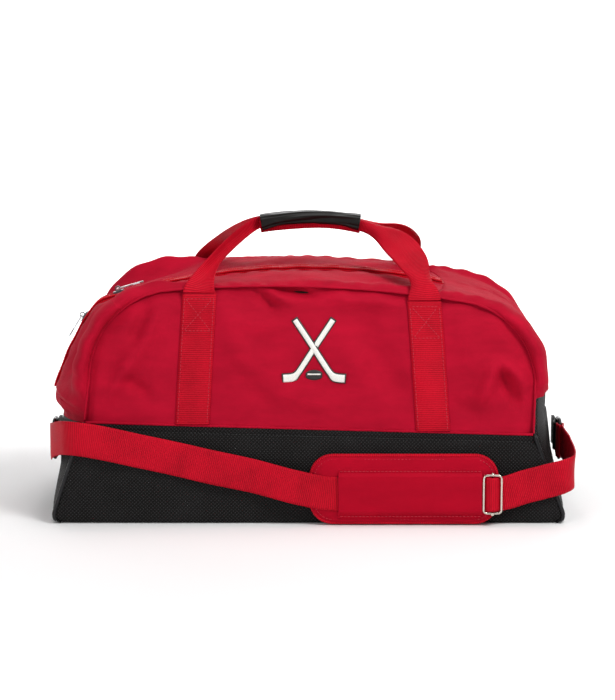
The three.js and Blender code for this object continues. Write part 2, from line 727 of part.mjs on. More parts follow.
// A hairpin of webbing seen from above: a loose loop round a bar and two tails side by side.
function hairpin(loopLength, loopWidth, tailLength, width, x, y, direction) {
  const half = loopWidth / 2;
  const outer = half + webbing;
  const outline = new THREE.Shape();
  outline.absarc(0, 0, outer, 0, Math.PI, false);
  outline.lineTo(-outer, -loopLength);
  outline.lineTo(-webbing - 0.15, -loopLength - outer);
  outline.lineTo(-webbing - 0.15, -loopLength - outer - tailLength);
  outline.lineTo(webbing + 0.15, -loopLength - outer - tailLength);
  outline.lineTo(webbing + 0.15, -loopLength - outer);
  outline.lineTo(outer, -loopLength);
  const slot = new THREE.Path();
  slot.absarc(0, 0, half, 0, Math.PI, false);
  slot.lineTo(-half, -loopLength + half);
  slot.lineTo(half, -loopLength + half);
  outline.holes.push(slot);
  const geometry = plate(outline, width, 0, 4);
  geometry.rotateZ(direction > 0 ? 0 : Math.PI);
  return geometry.translate(x, y, ringZ);
}

function strapRing(x) {
  const frame = wireFrame(2 * ringHalfWidth, webbingWidth + 2 * (ringPlay + ringWire), ringWire, 5);
  return frame.rotateX(Math.PI / 2).rotateZ(Math.PI / 2).translate(x, ringY, ringZ);
}

const ringX = [-halfLengthLeft - 8.8, halfLengthRight + 4.5]; // planes of the left and right rings
const rearBarY = ringY + ringHalfWidth - ringWire / 2;
const frontBarY = ringY - ringHalfWidth + ringWire / 2;
for (const [word, x] of [['left', ringX[0]], ['right', ringX[1]]]) {
  const tabY = rearBarY + tabLoop / 2 - tabSlot / 2;
  add(`ring_tab_${word}`, hairpin(tabSlot, tabLoop, 34, tabWidth, x, tabY, -1), 'black');
  add(`strap_ring_${word}`, strapRing(x), 'black', 0.4);
}

// ---- shoulder strap ----

const padBack = -halfDepth - 2;
const padFront = padBack - padThickness;
const strapFront = padFront - gap - webbing / 2 - 0.15; // middle of the webbing where it lies on the pad
const adjusterY = strapFront - webbing / 2 - adjusterWire / 2 - 1.45;
const overBar = adjusterY - adjusterWire / 2 - webbing / 2 - 0.85;
const strapStart = frontBarY - foldLength - foldLoop / 2 - webbing - 0.5 - webbingWidth * 0.025;
const ringSide = webbing / 2 + 0.15;
const besideBand = -halfDepth - 6;
const left = -halfLengthLeft;
const right = halfLengthRight;
const threads = adjusterLength / 2;

// Route of the strap from the left ring, through the pad and over the adjuster's bar, to the right ring.
const strapRoute = [
  [ringX[0] - ringSide, strapStart, ringZ],
  [ringX[0] - ringSide, strapStart - 9, ringZ],
  [left - 7, 74 - halfDepth, ringZ + 4],
  [left - 2, 48 - halfDepth, 90],
  [left + 10, 18 - halfDepth, 98],
  [left + 18, 4 - halfDepth, 100.5],
  [left + 30, -4 - halfDepth, 101],
  [left + 47, besideBand, 99],
  [left + 107, besideBand, 86.5],
  [left + 182, besideBand, 69.5],
  [-60, besideBand - 0.5, 57.3],
  [-36, strapFront + 2.3, 51.7],
  [-18, strapFront, 47.2],
  [0, strapFront, 43],
  [18, strapFront, 39.4],
  [34, strapFront, strapInPadZ],
  [100, strapFront, strapInPadZ],
  [180, strapFront, strapInPadZ],
  [adjusterX - threads - 1.5, strapFront, strapInPadZ],
  [adjusterX - threads + 2.5, strapFront - 0.2, strapInPadZ],
  [adjusterX - threads / 2, (strapFront + overBar) / 2, strapInPadZ],
  [adjusterX - 2.6, overBar + 0.9, strapInPadZ],
  [adjusterX, overBar, strapInPadZ],
  [adjusterX + 2.6, overBar + 0.9, strapInPadZ],
  [adjusterX + threads / 2, (strapFront + overBar) / 2, strapInPadZ],
  [adjusterX + threads - 2.5, strapFront - 0.2, strapInPadZ],
  [adjusterX + threads + 3.5, strapFront + 0.7, strapInPadZ + 1],
  [right - 65, strapFront + 2.3, 40.8],
  [right - 51, besideBand - 1.8, 45],
  [right - 28, besideBand - 1.2, 51],
  [right - 5, besideBand + 0.5, 57],
  [right + 6, 4 - halfDepth, 60],
  [right + 10.5, 30 - halfDepth, 65],
  [right + 10, 60 - halfDepth, 71],
  [ringX[1] + ringSide + 1.2, 80 - halfDepth, ringZ - 2],
  [ringX[1] + ringSide, strapStart - 9, ringZ],
  [ringX[1] + ringSide, strapStart, ringZ],
];

// The strap's webbing, upright against the bag.
function strapWebbing() {
  const points = strapRoute.map((p) => new THREE.Vector3(...p));
  const curve = new THREE.CatmullRomCurve3(points, false, 'centripetal');
  return ribbon(curve, (points.length - 1) * 3, (t, tangent) => {
    const level = new THREE.Vector3(tangent.y, -tangent.x, 0).normalize();
    return level.cross(tangent);
  });
}

add('strap_webbing', strapWebbing(), 'webbingRed');
for (const [word, x] of [['left', ringX[0]], ['right', ringX[1]]]) {
  add(`strap_fold_${word}`, hairpin(foldLength, foldLoop, 0.5, webbingWidth, x, frontBarY, 1), 'webbingRed');
}

// ---- pad ----

function upFront(geometry) {
  return geometry.rotateX(Math.PI / 2);
}

function padBody() {
  return upFront(plate(roundedRectangle(...padSize, padCorner), padThickness, 1.6, 5))
    .translate(padMiddle[0], padBack - padThickness / 2, padMiddle[1]);
}

// Cover on the front of the pad. The strap runs through the channel behind it.
function padSleeve() {
  const channelHalf = webbingWidth / 2 + sleevePlay;
  const half = channelHalf + sleeveHem;
  const back = 0;
  const channel = webbing + 2;
  const front = channel + sleeveWall;
  const section = new THREE.Shape();
  section.moveTo(back, -half);
  section.lineTo(back, -channelHalf);
  section.lineTo(channel, -channelHalf);
  section.lineTo(channel, channelHalf);
  section.lineTo(back, channelHalf);
  section.lineTo(back, half);
  section.lineTo(front - 1, half);
  section.lineTo(front, half - 2);
  section.lineTo(front, -half + 2);
  section.lineTo(front - 1, -half);
  const sleeve = new THREE.ExtrudeGeometry(section, { depth: sleeveLength, steps: 1, bevelEnabled: false });
  sleeve.applyMatrix4(new THREE.Matrix4().makeBasis(
    new THREE.Vector3(0, -1, 0),
    new THREE.Vector3(0, 0, 1),
    new THREE.Vector3(-1, 0, 0),
  ));
  return sleeve.translate(sleeveMiddle + sleeveLength / 2, padFront - gap, strapInPadZ);
}

add('strap_pad', padBody(), 'red');
add('pad_sleeve', padSleeve(), 'red', 0.7);

// ---- adjuster ----

const adjusterHeight = webbingWidth + 2 * (adjusterWire + adjusterPlay);
const barLength = adjusterHeight - 2 * (adjusterWire + gap);
const adjusterBar = new THREE.CylinderGeometry(adjusterWire / 2, adjusterWire / 2, barLength, 10);
add('adjuster_frame', upFront(wireFrame(adjusterLength, adjusterHeight, adjusterWire, 4))
  .translate(adjusterX, adjusterY, strapInPadZ), 'chrome', 0.2, 1);
add('adjuster_bar', upFront(adjusterBar).translate(adjusterX, adjusterY, strapInPadZ), 'chrome', 0.2, 1);

// ---- emblem: two crossed sticks and a puck, in thread ----

function stick() {
  const outline = new THREE.Shape();
  outline.moveTo(-2.6, 40);
  outline.lineTo(-2.6, -24);
  outline.quadraticCurveTo(-2.6, -31, -10, -34);
  outline.lineTo(-20, -38);
  outline.lineTo(-23, -32);
  outline.lineTo(-12, -27.5);
  outline.quadraticCurveTo(-7.6, -26, -7.8, -20);
  outline.lineTo(-7.8, 40);
  return plate(outline, emblemThickness, 0, 3).translate(5.2, 0, 0).rotateZ(degrees(-30));
}

// Lays a flat shape, drawn in X and Y, on the front panel.
function onFrontPanel(geometry) {
  const p = geometry.attributes.position;
  for (let i = 0; i < p.count; i++) {
    const x = p.getX(i) + emblemMiddle[0];
    const z = p.getY(i) + emblemMiddle[1];
    p.setXYZ(i, x, -depthAt(z) - 0.8 - emblemThickness / 2 + p.getZ(i), z);
  }
  return facingOut(geometry.index ? geometry : mergeVertices(geometry));
}

const otherStick = facingOut(mergeVertices(bareCopy(stick().scale(-1, 1, 1))));
const sticks = fromManifold(closedMesh(stick()).add(closedMesh(otherStick)));
add('emblem_sticks', onFrontPanel(sticks), 'thread', 0.6);
const puck = plate(new THREE.Shape().absellipse(0, -30, 10, 6, 0, Math.PI * 2), emblemThickness, 0, 6);
add('emblem_puck', onFrontPanel(mergeVertices(bareCopy(puck))), 'black', 0.6);

export default bag;
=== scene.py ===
"""A soft holdall for ice hockey kit: red polyester over a black base, on the frame of its CAD model.

Shapes are worked out in millimetres, with X along the bag, Y from front to back and Z up, and put into
meshes in metres. side is -1 at the front and 1 at the back.
"""

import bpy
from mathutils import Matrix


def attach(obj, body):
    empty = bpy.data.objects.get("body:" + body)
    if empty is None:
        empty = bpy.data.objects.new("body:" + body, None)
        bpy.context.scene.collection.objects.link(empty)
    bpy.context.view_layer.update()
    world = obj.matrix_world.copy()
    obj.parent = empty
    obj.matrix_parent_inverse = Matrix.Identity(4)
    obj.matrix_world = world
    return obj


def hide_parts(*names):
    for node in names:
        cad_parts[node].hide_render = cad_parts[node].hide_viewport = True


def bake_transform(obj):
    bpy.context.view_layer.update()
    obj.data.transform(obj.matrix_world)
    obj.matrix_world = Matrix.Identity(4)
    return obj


bl_info = {
    "name": "Kit Holdall",
    "version": (1, 0, 0),
    "blender": (4, 5, 0),
    "location": "View3D > Sidebar > Holdall",
    "description": "Cloth, webbing, zip and fittings of a kit holdall, built round its frame",
    "category": "Add Mesh",
}

import bpy
import numpy as np
from bpy.props import FloatProperty, FloatVectorProperty, PointerProperty
from mathutils import Vector

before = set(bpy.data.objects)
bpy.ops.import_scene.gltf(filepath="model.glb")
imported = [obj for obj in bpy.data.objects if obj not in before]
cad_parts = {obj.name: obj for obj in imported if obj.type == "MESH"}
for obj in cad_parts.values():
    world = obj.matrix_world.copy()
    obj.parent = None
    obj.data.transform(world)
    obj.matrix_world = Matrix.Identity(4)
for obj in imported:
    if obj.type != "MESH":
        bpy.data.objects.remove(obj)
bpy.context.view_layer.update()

MM = 0.001
GAP = 0.3

# Overall sizes of the bag
HALF_LEFT = 297.0
HALF_RIGHT = 303.0
HALF_DEPTH = 150.0
BASE_LENGTH = HALF_LEFT + HALF_RIGHT
BASE_CORNER = 15.0
CROWN_TOP = 284.0
TOP_TUCK = 40.0
FRONT_DROP = 10.0
BACK_RISE = 13.0
SEAM_LEFT = 118.0
SEAM_RIGHT = 104.0
FRONT_TOP = CROWN_TOP - FRONT_DROP
CLOTH = 1.2
WEBBING = 1.7
WEBBING_WIDTH = 40.0

# Curves of the front panel's edge and of the bag's middle line
CROWN_RADIUS = 800.0
BEND_RADIUS = 30.0
BEND_INSET = 53.8
END_RADIUS = 360.0
END_START = -56.0
ZIP_FOOT_RISE = 20.0
ZIP_HEAD = 12.0
RIGHT_FOLD = 5.3                        # station where the red wall meets the right end's black panel
POUCH_RISE = 11.0
MIDDLE_RIGHT = HALF_RIGHT - 12.0
RIGHT_SHOULDER = 102.0
FRONT_CROWN_RADIUS = 1400.0
FRONT_CROWN_X = -40.0
FRONT_LEFT = 45.0 - HALF_LEFT
FRONT_RIGHT = HALF_RIGHT - 37.0
FRONT_LEFT_RADIUS = 100.0
FRONT_RIGHT_RADIUS = 95.0

# Zip
TAPE_HALF = 15.0
TAPE_THICKNESS = 1.2
COIL_HALF = 3.1
COIL_PITCH = 1.6

# Handles
LEG_LEFT = (-132.0, -124.0)
LEG_RIGHT = (147.0, 137.0)
LEG_TOP_DROP = 6.0
LOOP_REACH = {-1: (28.0, 16.0), 1: (44.0, 40.0)}   # how far a loop runs straight from leg and grip
GRIP_MIDDLE = 5.0
GRIP_LENGTH = 122.0
GRIP_CROWN = CROWN_TOP + 60.0
GRIP_RADIUS = 313.0
FOLDED_WIDTH = 17.0
FOLDED_TILT = 38.0                      # lean of the folded webbing where it enters the grip, in degrees

# Strap, rings, pad and adjuster
RING_Y = -18.0
RING_Z = 78.0
RING_HALF = 16.0
RING_WIRE = 4.4
RING_X = (-HALF_LEFT - 8.8, HALF_RIGHT + 4.5)
FRONT_BAR = RING_Y - RING_HALF + RING_WIRE / 2
REAR_BAR = RING_Y + RING_HALF - RING_WIRE / 2
TAB_LOOP = 4.3                          # room between a ring's rear bar and the end of its tab's loop
PAD_SIZE = (218.0, 81.5)
PAD_MIDDLE = (113.0, 42.5)
PAD_THICKNESS = 9.0
PAD_CORNER = 26.0
PAD_BACK = -HALF_DEPTH - 2
PAD_FRONT = PAD_BACK - PAD_THICKNESS
PAD_MIDDLE_Y = PAD_BACK - PAD_THICKNESS / 2
STRAP_Z = 38.0
STRAP_FRONT = PAD_FRONT - GAP - WEBBING / 2 - 0.15
SLEEVE = (37.0, 203.0)
ADJUSTER_X = 215.0
ADJUSTER_LENGTH = 23.0
ADJUSTER_WIRE = 2.6
ADJUSTER_Y = STRAP_FRONT - WEBBING / 2 - ADJUSTER_WIRE / 2 - 1.45
ADJUSTER_HEIGHT = WEBBING_WIDTH + 2 * (ADJUSTER_WIRE + 0.9)
EMBLEM = (9.0, 199.0)

# A point inside the bag, which cloth faces away from
BAG_MIDDLE = np.array([0.0, 0.0, 110.0])
SIDES = ((-1, "front"), (1, "back"))

# Camera and the point it looks at, in metres
CAMERA_LENS = 107.3
CAMERA_SENSOR = 36
CAMERA_ELEVATION = np.radians(8)
CAMERA_TARGET = (1.5 * MM, 0, 183 * MM)
LIT_POINT = (0, 0, 0.12)


def linear(hex_colour):
    """An sRGB hex colour as linear red, green and blue."""
    srgb = np.array([int(hex_colour[i:i + 2], 16) / 255 for i in (0, 2, 4)])
    return tuple(np.where(srgb <= 0.04045, srgb / 12.92, ((srgb + 0.055) / 1.055) ** 2.4).tolist())


# ---- settings that a user would change ----


class HoldallSizes(bpy.types.PropertyGroup):
    """Sizes of the cloth's relief and stitching."""

    fold_depth: FloatProperty(
        name="Fold depth", description="Height of the deepest folds in the panels",
        default=0.011, min=0, max=0.015, unit="LENGTH")
    stitch_length: FloatProperty(
        name="Stitch length", description="Length of one stitch in the webbing and seams",
        default=0.0032, min=0.002, max=0.006, unit="LENGTH")
    rib_pitch: FloatProperty(
        name="Rib pitch", description="Distance between the ribs across the webbing",
        default=0.0022, min=0.001, max=0.004, unit="LENGTH")
    base_weave: FloatProperty(
        name="Base weave", description="Distance between the drawn threads of the black base cloth",
        default=0.003, min=0.0005, max=0.005, unit="LENGTH")
    camera_distance: FloatProperty(
        name="Camera distance", description="From the camera to the middle of the bag",
        default=2.55, min=1.5, max=4, unit="LENGTH")


class HoldallColours(bpy.types.PropertyGroup):
    """Colours of the cloth, webbing and fittings."""

    panel: FloatVectorProperty(
        name="Panels", description="Red polyester of the upper bag",
        subtype="COLOR", default=linear("ab0d29"), min=0, max=1)
    webbing: FloatVectorProperty(
        name="Webbing", description="Red webbing of the handles and strap",
        subtype="COLOR", default=linear("b60a22"), min=0, max=1)
    zip_tape: FloatVectorProperty(
        name="Zip tape", description="Brighter red of the zip",
        subtype="COLOR", default=linear("b8071c"), min=0, max=1)
    pad: FloatVectorProperty(
        name="Shoulder pad", description="Red cloth of the shoulder pad's cover",
        subtype="COLOR", default=linear("a80622"), min=0, max=1)
    base: FloatVectorProperty(
        name="Base", description="Black cloth of the base",
        subtype="COLOR", default=linear("14110f"), min=0, max=1)
    grip: FloatVectorProperty(
        name="Grip", description="Black wrap of the handle",
        subtype="COLOR", default=linear("131110"), min=0, max=1)


# ---- lines and grids ----


def word_of(side):
    """The name of a side."""
    return "front" if side < 0 else "back"


def sizes():
    """The sizes that a user may change."""
    return bpy.context.scene.holdall_sizes


def colours():
    """The colours that a user may change."""
    return bpy.context.scene.holdall_colours


def mix(a, b, t):
    """The place at the share t of the way from a to b."""
    return a + (b - a) * t


def smooth(t, low=0.0, high=1.0):
    """0 below low, 1 above high, and an S-curve between them."""
    t = np.clip((t - low) / (high - low), 0, 1)
    return t * t * (3 - 2 * t)


def hump(t, middle, half):
    """A bell of height 1 at middle that falls to about a third at half."""
    return np.exp(-((t - middle) / half) ** 2)


def grid(rows, columns):
    """Two arrays a and b that run from 0 to 1 down the rows and across the columns."""
    return np.meshgrid(np.linspace(0, 1, rows), np.linspace(0, 1, columns), indexing="ij")


def circle_point(centre, radius, angle):
    """A point in X and Z on a circle, at an angle in degrees from upright."""
    turn = np.radians(angle)
    return np.stack([centre[0] + radius * np.sin(turn), centre[1] + radius * np.cos(turn)], axis=-1)


def arc_line(centre, radius, start, end):
    """Points along an arc, between two angles in degrees from upright."""
    return circle_point(centre, radius, np.linspace(start, end, 60))


def rim(*stretches):
    """A line in X and Z. Station k + s lies at the share s of the length of stretch k."""
    stations = []
    for k, line in enumerate(stretches):
        steps = np.linalg.norm(np.diff(line, axis=0), axis=1)
        share = np.concatenate([[0], np.cumsum(steps)]) / steps.sum()
        stations.append(k + mix(1e-7, 1 - 1e-7, share))
    return np.concatenate(stations), np.concatenate(stretches)


def on_rim(line, station):
    """The X and Z of a rim's line at a station."""
    stations, points = line
    return np.interp(station, stations, points[:, 0]), np.interp(station, stations, points[:, 1])


def lengths_along(points):
    """Distance from the start to each point of a line."""
    steps = np.linalg.norm(np.diff(points, axis=0), axis=1)
    return np.concatenate([[0], np.cumsum(steps)])


def values_at(line, values, distance):
    """Values given at a line's points, read at some distances along the line."""
    along = lengths_along(line)
    return np.stack([np.interp(distance, along, column) for column in values.T], axis=-1)


def at_length(points, distance):
    """The points of a line at some distances along it."""
    return values_at(points, points, distance)


def evenly_round(line, count):
    """Points at equal steps along a closed line."""
    line = np.concatenate([line, line[:1]])
    return at_length(line, np.arange(count) / count * lengths_along(line)[-1])


def cubic(knots, t):
    """A cubic curve from the first knot to the last, which the two between them draw towards themselves."""
    return ((1 - t) ** 3 * knots[0] + 3 * (1 - t) ** 2 * t * knots[1]
            + 3 * (1 - t) * t ** 2 * knots[2] + t ** 3 * knots[3])


def smooth_line(points, count):
    """A smooth line through points: cubic pieces whose slopes are the differences to the neighbours."""
    points = np.array(points, float)
    chord = np.concatenate([[0], np.cumsum(np.linalg.norm(np.diff(points, axis=0), axis=1) ** 0.5)])
    slope = np.gradient(points, chord, axis=0)
    where = np.linspace(0, chord[-1], count)
    k = np.clip(np.searchsorted(chord, where, side="right") - 1, 0, len(chord) - 2)
    span = (chord[k + 1] - chord[k])[:, None]
    t = (where - chord[k])[:, None] / span
    return ((2 * t ** 3 - 3 * t ** 2 + 1) * points[k] + (t ** 3 - 2 * t ** 2 + t) * span * slope[k]
            + (3 * t ** 2 - 2 * t ** 3) * points[k + 1] + (t ** 3 - t ** 2) * span * slope[k + 1])


def upright_along_x(line):
    """A flat line stood up facing the front."""
    return np.stack([line[:, 0], 0 * line[:, 0], line[:, 1]], axis=-1)


def upright_along_y(line):
    """A flat line stood up facing the left end."""
    return np.stack([0 * line[:, 0], line[:, 0], line[:, 1]], axis=-1)


def unit(vectors):
    """Vectors brought to a length of 1."""
    return vectors / np.maximum(np.linalg.norm(vectors, axis=-1, keepdims=True), 1e-9)


def normals_of(points):
    """Unit normals of a grid: the cross product of its two directions."""
    return unit(np.cross(np.gradient(points, axis=0), np.gradient(points, axis=1)))


def outward(points):
    """Unit normals of a grid, turned away from the middle of the bag."""
    normals = normals_of(points)
    return normals * np.sign(np.sum(normals * (points - BAG_MIDDLE)))


# ---- the bag's outer surface ----

LEFT_TURN = np.degrees(np.arcsin((FRONT_CROWN_X - FRONT_LEFT - FRONT_LEFT_RADIUS)
                                 / (FRONT_CROWN_RADIUS - FRONT_LEFT_RADIUS)))
RIGHT_TURN = np.degrees(np.arcsin((FRONT_RIGHT - FRONT_RIGHT_RADIUS - FRONT_CROWN_X)
                                  / (FRONT_CROWN_RADIUS - FRONT_RIGHT_RADIUS)))
FRONT_CROWN_Z = FRONT_TOP - FRONT_CROWN_RADIUS
FRONT_LEFT_Z = FRONT_CROWN_Z + (FRONT_CROWN_RADIUS - FRONT_LEFT_RADIUS) * np.cos(np.radians(LEFT_TURN))
FRONT_RIGHT_Z = FRONT_CROWN_Z + (FRONT_CROWN_RADIUS - FRONT_RIGHT_RADIUS) * np.cos(np.radians(RIGHT_TURN))
CROWN_Z = CROWN_TOP - CROWN_RADIUS
CROWN_LEFT = -np.degrees(np.arcsin((HALF_LEFT - BEND_INSET) / CROWN_RADIUS))
BEND_CENTRE = circle_point((0, CROWN_Z), CROWN_RADIUS - BEND_RADIUS, CROWN_LEFT)
END_CENTRE = circle_point(circle_point(BEND_CENTRE, BEND_RADIUS, END_START), -END_RADIUS, END_START)
POUCH_END = -np.degrees(np.arccos((SEAM_LEFT + POUCH_RISE - END_CENTRE[1]) / END_RADIUS))
ZIP_FOOT = -np.degrees(np.arccos((SEAM_LEFT + ZIP_FOOT_RISE - END_CENTRE[1]) / END_RADIUS))
SHOULDER_TURN = np.degrees(np.arcsin((MIDDLE_RIGHT - RIGHT_SHOULDER) / (CROWN_RADIUS - RIGHT_SHOULDER)))
SHOULDER_CENTRE = circle_point((0, CROWN_Z), CROWN_RADIUS - RIGHT_SHOULDER, SHOULDER_TURN)
LEFT_CENTRE = (FRONT_LEFT + FRONT_LEFT_RADIUS, FRONT_LEFT_Z)
RIGHT_CENTRE = (FRONT_RIGHT - FRONT_RIGHT_RADIUS, FRONT_RIGHT_Z)

# The seam between the front panel and the wall that runs over the ends and the top
FRONT_RIM = rim(
    np.array([(-HALF_LEFT, 0), (FRONT_LEFT - 6, SEAM_LEFT)]),
    np.concatenate([[(FRONT_LEFT - 6, SEAM_LEFT)], arc_line(LEFT_CENTRE, FRONT_LEFT_RADIUS, -90, -57)]),
    arc_line(LEFT_CENTRE, FRONT_LEFT_RADIUS, -57, -37),
    np.concatenate([arc_line(LEFT_CENTRE, FRONT_LEFT_RADIUS, -37, -LEFT_TURN),
                    arc_line((FRONT_CROWN_X, FRONT_CROWN_Z), FRONT_CROWN_RADIUS, -LEFT_TURN, RIGHT_TURN)]),
    arc_line(RIGHT_CENTRE, FRONT_RIGHT_RADIUS, RIGHT_TURN, 90),
    np.array([(FRONT_RIGHT, FRONT_RIGHT_Z), (FRONT_RIGHT - 2, SEAM_RIGHT)]),
    np.array([(FRONT_RIGHT - 2, SEAM_RIGHT), (HALF_RIGHT, 0)]),
)

# The same wall's line along the middle of the bag, where the zip runs
MIDDLE_RIM = rim(
    np.array([(-HALF_LEFT - 9, 0), (1 - HALF_LEFT, SEAM_LEFT - 8)]),
    arc_line(END_CENTRE, END_RADIUS, POUCH_END, END_START),
    arc_line(BEND_CENTRE, BEND_RADIUS, END_START, CROWN_LEFT),
    arc_line((0, CROWN_Z), CROWN_RADIUS, CROWN_LEFT, SHOULDER_TURN),
    arc_line(SHOULDER_CENTRE, RIGHT_SHOULDER, SHOULDER_TURN, 90),
    np.array([(MIDDLE_RIGHT, SHOULDER_CENTRE[1]), (MIDDLE_RIGHT, SEAM_RIGHT + 8)]),
    np.array([(MIDDLE_RIGHT + 2, SEAM_RIGHT + 8), (HALF_RIGHT + 8, 0)]),
)

FOOT_STATION = 1 + (ZIP_FOOT - POUCH_END) / (END_START - POUCH_END)
HEAD_STATION = 3 + (ZIP_HEAD - CROWN_LEFT) / (SHOULDER_TURN - CROWN_LEFT)


def depth_at(z):
    """Half of the bag's depth at a height: it narrows by the power 1.8 of the height."""
    return HALF_DEPTH - TOP_TUCK * (np.maximum(z, 0) / FRONT_TOP) ** 1.8


def seam_height(x):
    """Height of the seam above the base: it falls evenly from the left end to the right."""
    return mix(SEAM_LEFT, SEAM_RIGHT, (x - FRONT_LEFT) / (FRONT_RIGHT - FRONT_LEFT))


def back_lift(z, side):
    """How much higher the back panel stands than the front at a height."""
    return (side > 0) * BACK_RISE * np.maximum(0, (z - SEAM_LEFT) / (FRONT_TOP - SEAM_LEFT))


def around(station, share):
    """The end and top wall at a station and a share of the depth from -1 (front) to 1 (back).

    A parabola joins the two seams and the middle line: each point is the seam's place plus
    (1 - share squared) of the way to the middle line.
    """
    seam_x, seam_z = on_rim(FRONT_RIM, station)
    middle_x, middle_z = on_rim(MIDDLE_RIM, station)
    lift = BACK_RISE * np.maximum(0, (seam_z - SEAM_LEFT) / (FRONT_TOP - SEAM_LEFT))
    bulge = 1 - share ** 2
    x = seam_x + (middle_x - seam_x) * bulge
    z = seam_z + lift * (share + 1) / 2 + (middle_z - seam_z - lift / 2) * bulge
    return np.stack([x, share * depth_at(seam_z), z], axis=-1)


# Soft folds in the front panel: where each starts and ends, its half width and its height as a share of
# the fold depth. Ridges are positive and hollows negative.
FRONT_FOLDS = (
    ((-203, 205), (-181, 254), 9, -0.85),
    ((-216, 156), (-170, 262), 13, 0.8),
    ((-214, 172), (-180, 146), 9, -0.6),
    ((-236, 132), (-205, 190), 9, 0.5),
    ((-104, 262), (-60, 150), 18, 0.55),
    ((-62, 270), (-34, 246), 5, -0.8),
    ((-50, 272), (-16, 252), 4, 0.6),
    ((-34, 272), (16, 262), 5, -0.75),
    ((-92, 238), (-30, 226), 10, 0.35),
    ((-40, 150), (30, 132), 12, 0.4),
    ((20, 262), (112, 255), 8, 0.6),
    ((60, 240), (118, 130), 18, -0.6),
    ((40, 170), (96, 230), 14, 0.35),
    ((-88, 190), (-40, 128), 12, -0.45),
    ((221, 190), (200, 138), 9, 0.85),
    ((224, 182), (248, 132), 8, -0.9),
    ((224, 190), (258, 160), 8, 0.5),
    ((170, 142), (214, 110), 9, -0.6),
    ((176, 240), (196, 170), 16, 0.35),
)
BACK_FOLDS = (
    ((190, 210), (160, 258), 10, -0.7),
    ((222, 150), (160, 262), 14, 0.7),
    ((214, 172), (176, 140), 10, -0.6),
    ((-210, 190), (-192, 135), 10, 0.8),
    ((-222, 184), (-240, 130), 9, -0.7),
    ((-60, 265), (40, 255), 10, -0.5),
    ((-30, 230), (60, 130), 26, 0.45),
)


def folds_at(x, z, folds):
    """Sum of soft ridges: a bell across each line, which fades out at the line's two ends."""
    total = np.zeros(np.broadcast(x, z).shape)
    for start, end, half, height in folds:
        run = np.subtract(end, start)
        length = np.hypot(*run)
        along = ((x - start[0]) * run[0] + (z - start[1]) * run[1]) / length
        across = ((x - start[0]) * run[1] - (z - start[1]) * run[0]) / length
        fade = smooth(along, -half, length * 0.3) * (1 - smooth(along, length * 0.7, length + half))
        total += height * fade * hump(across, 0, half)
    return total


def wall_out(x, z, side):
    """How far the front or back wall stands from the bag's middle.

    The depth at that height, plus a soft belly in the panel and the base, plus the folds.
    """
    seam = seam_height(x)
    fold_depth = sizes().fold_depth / MM
    up = (z - seam) / (FRONT_TOP - seam)
    panel = 4.5 * np.sin(np.pi * np.clip(up, 0, 1)) ** 0.7
    panel += fold_depth * folds_at(x, z, FRONT_FOLDS if side < 0 else BACK_FOLDS) * smooth(up, 0.02, 0.3)
    low = np.clip(z / seam, 0, 1)
    base = 4.2 * np.sin(np.pi * low ** 1.6) + 0.9 * np.sin(x / 37 + side) * np.sin(np.pi * low)
    base += 2.2 * hump((x + 235) - (z - 20) * 0.85, 0, 13) * np.sin(np.pi * low)
    base -= 1.6 * hump((x + 262) - (z - 20) * 0.75, 0, 11) * np.sin(np.pi * low)
    base -= 1.5 * hump(z, seam - 9, 2.2)
    under = 5 * np.clip(1 - z / 7, 0, 1) ** 2
    return depth_at(z) + np.where(z > seam, panel, base) - under


# ---- meshes ----


def put_mesh(name, points, faces, uv=None):
    """A mesh from points in millimetres and arrays of faces, turned to face outwards."""
    points = points.reshape(-1, 3) * MM
    first = faces[0]
    p = points[first] - points.mean(axis=0)
    volume = np.sum(p[:, 0] * np.cross(p[:, 1], p[:, 2])) + np.sum(p[:, 0] * np.cross(p[:, 2], p[:, -1]))
    if volume < 0:
        faces = [f[:, ::-1] for f in faces]
    loops = np.concatenate([f.ravel() for f in faces]).astype(np.int32)
    totals = np.concatenate([np.full(len(f), f.shape[1]) for f in faces])
    mesh = bpy.data.meshes.new(name)
    mesh.vertices.add(len(points))
    mesh.vertices.foreach_set("co", points.ravel())
    mesh.loops.add(len(loops))
    mesh.loops.foreach_set("vertex_index", loops)
    mesh.polygons.add(len(totals))
    mesh.polygons.foreach_set("loop_start", np.concatenate([[0], np.cumsum(totals)[:-1]]).astype(np.int32))
    mesh.polygons.foreach_set("loop_total", totals.astype(np.int32))
    mesh.update(calc_edges=True)
    mesh.validate()
    mesh.shade_smooth()
    if uv is not None:
        layer = mesh.uv_layers.new(name="cloth")
        layer.data.foreach_set("uv", (uv.reshape(-1, 2)[loops] * MM).ravel())
    obj = bpy.data.objects.new(name, mesh)
    bpy.context.scene.collection.objects.link(obj)
    return obj


def numbers(rows, columns):
    """The numbers of a grid's points, in their rows and columns."""
    return np.arange(rows * columns).reshape(rows, columns)


def quads(corner):
    """The squares between the rows and columns of a grid of point numbers."""
    squares = [corner[:-1, :-1], corner[:-1, 1:], corner[1:, 1:], corner[1:, :-1]]
    return np.stack(squares, axis=-1).reshape(-1, 4)


def closed_rows(corner):
    """A grid of point numbers whose rows run round to their first point again."""
    return np.concatenate([corner, corner[:, :1]], axis=1)


def border_of(corner):
    """The point numbers round the edge of a grid, in order."""
    return np.concatenate([corner[0, :-1], corner[:-1, -1], corner[-1, :0:-1], corner[:0:-1, 0]])


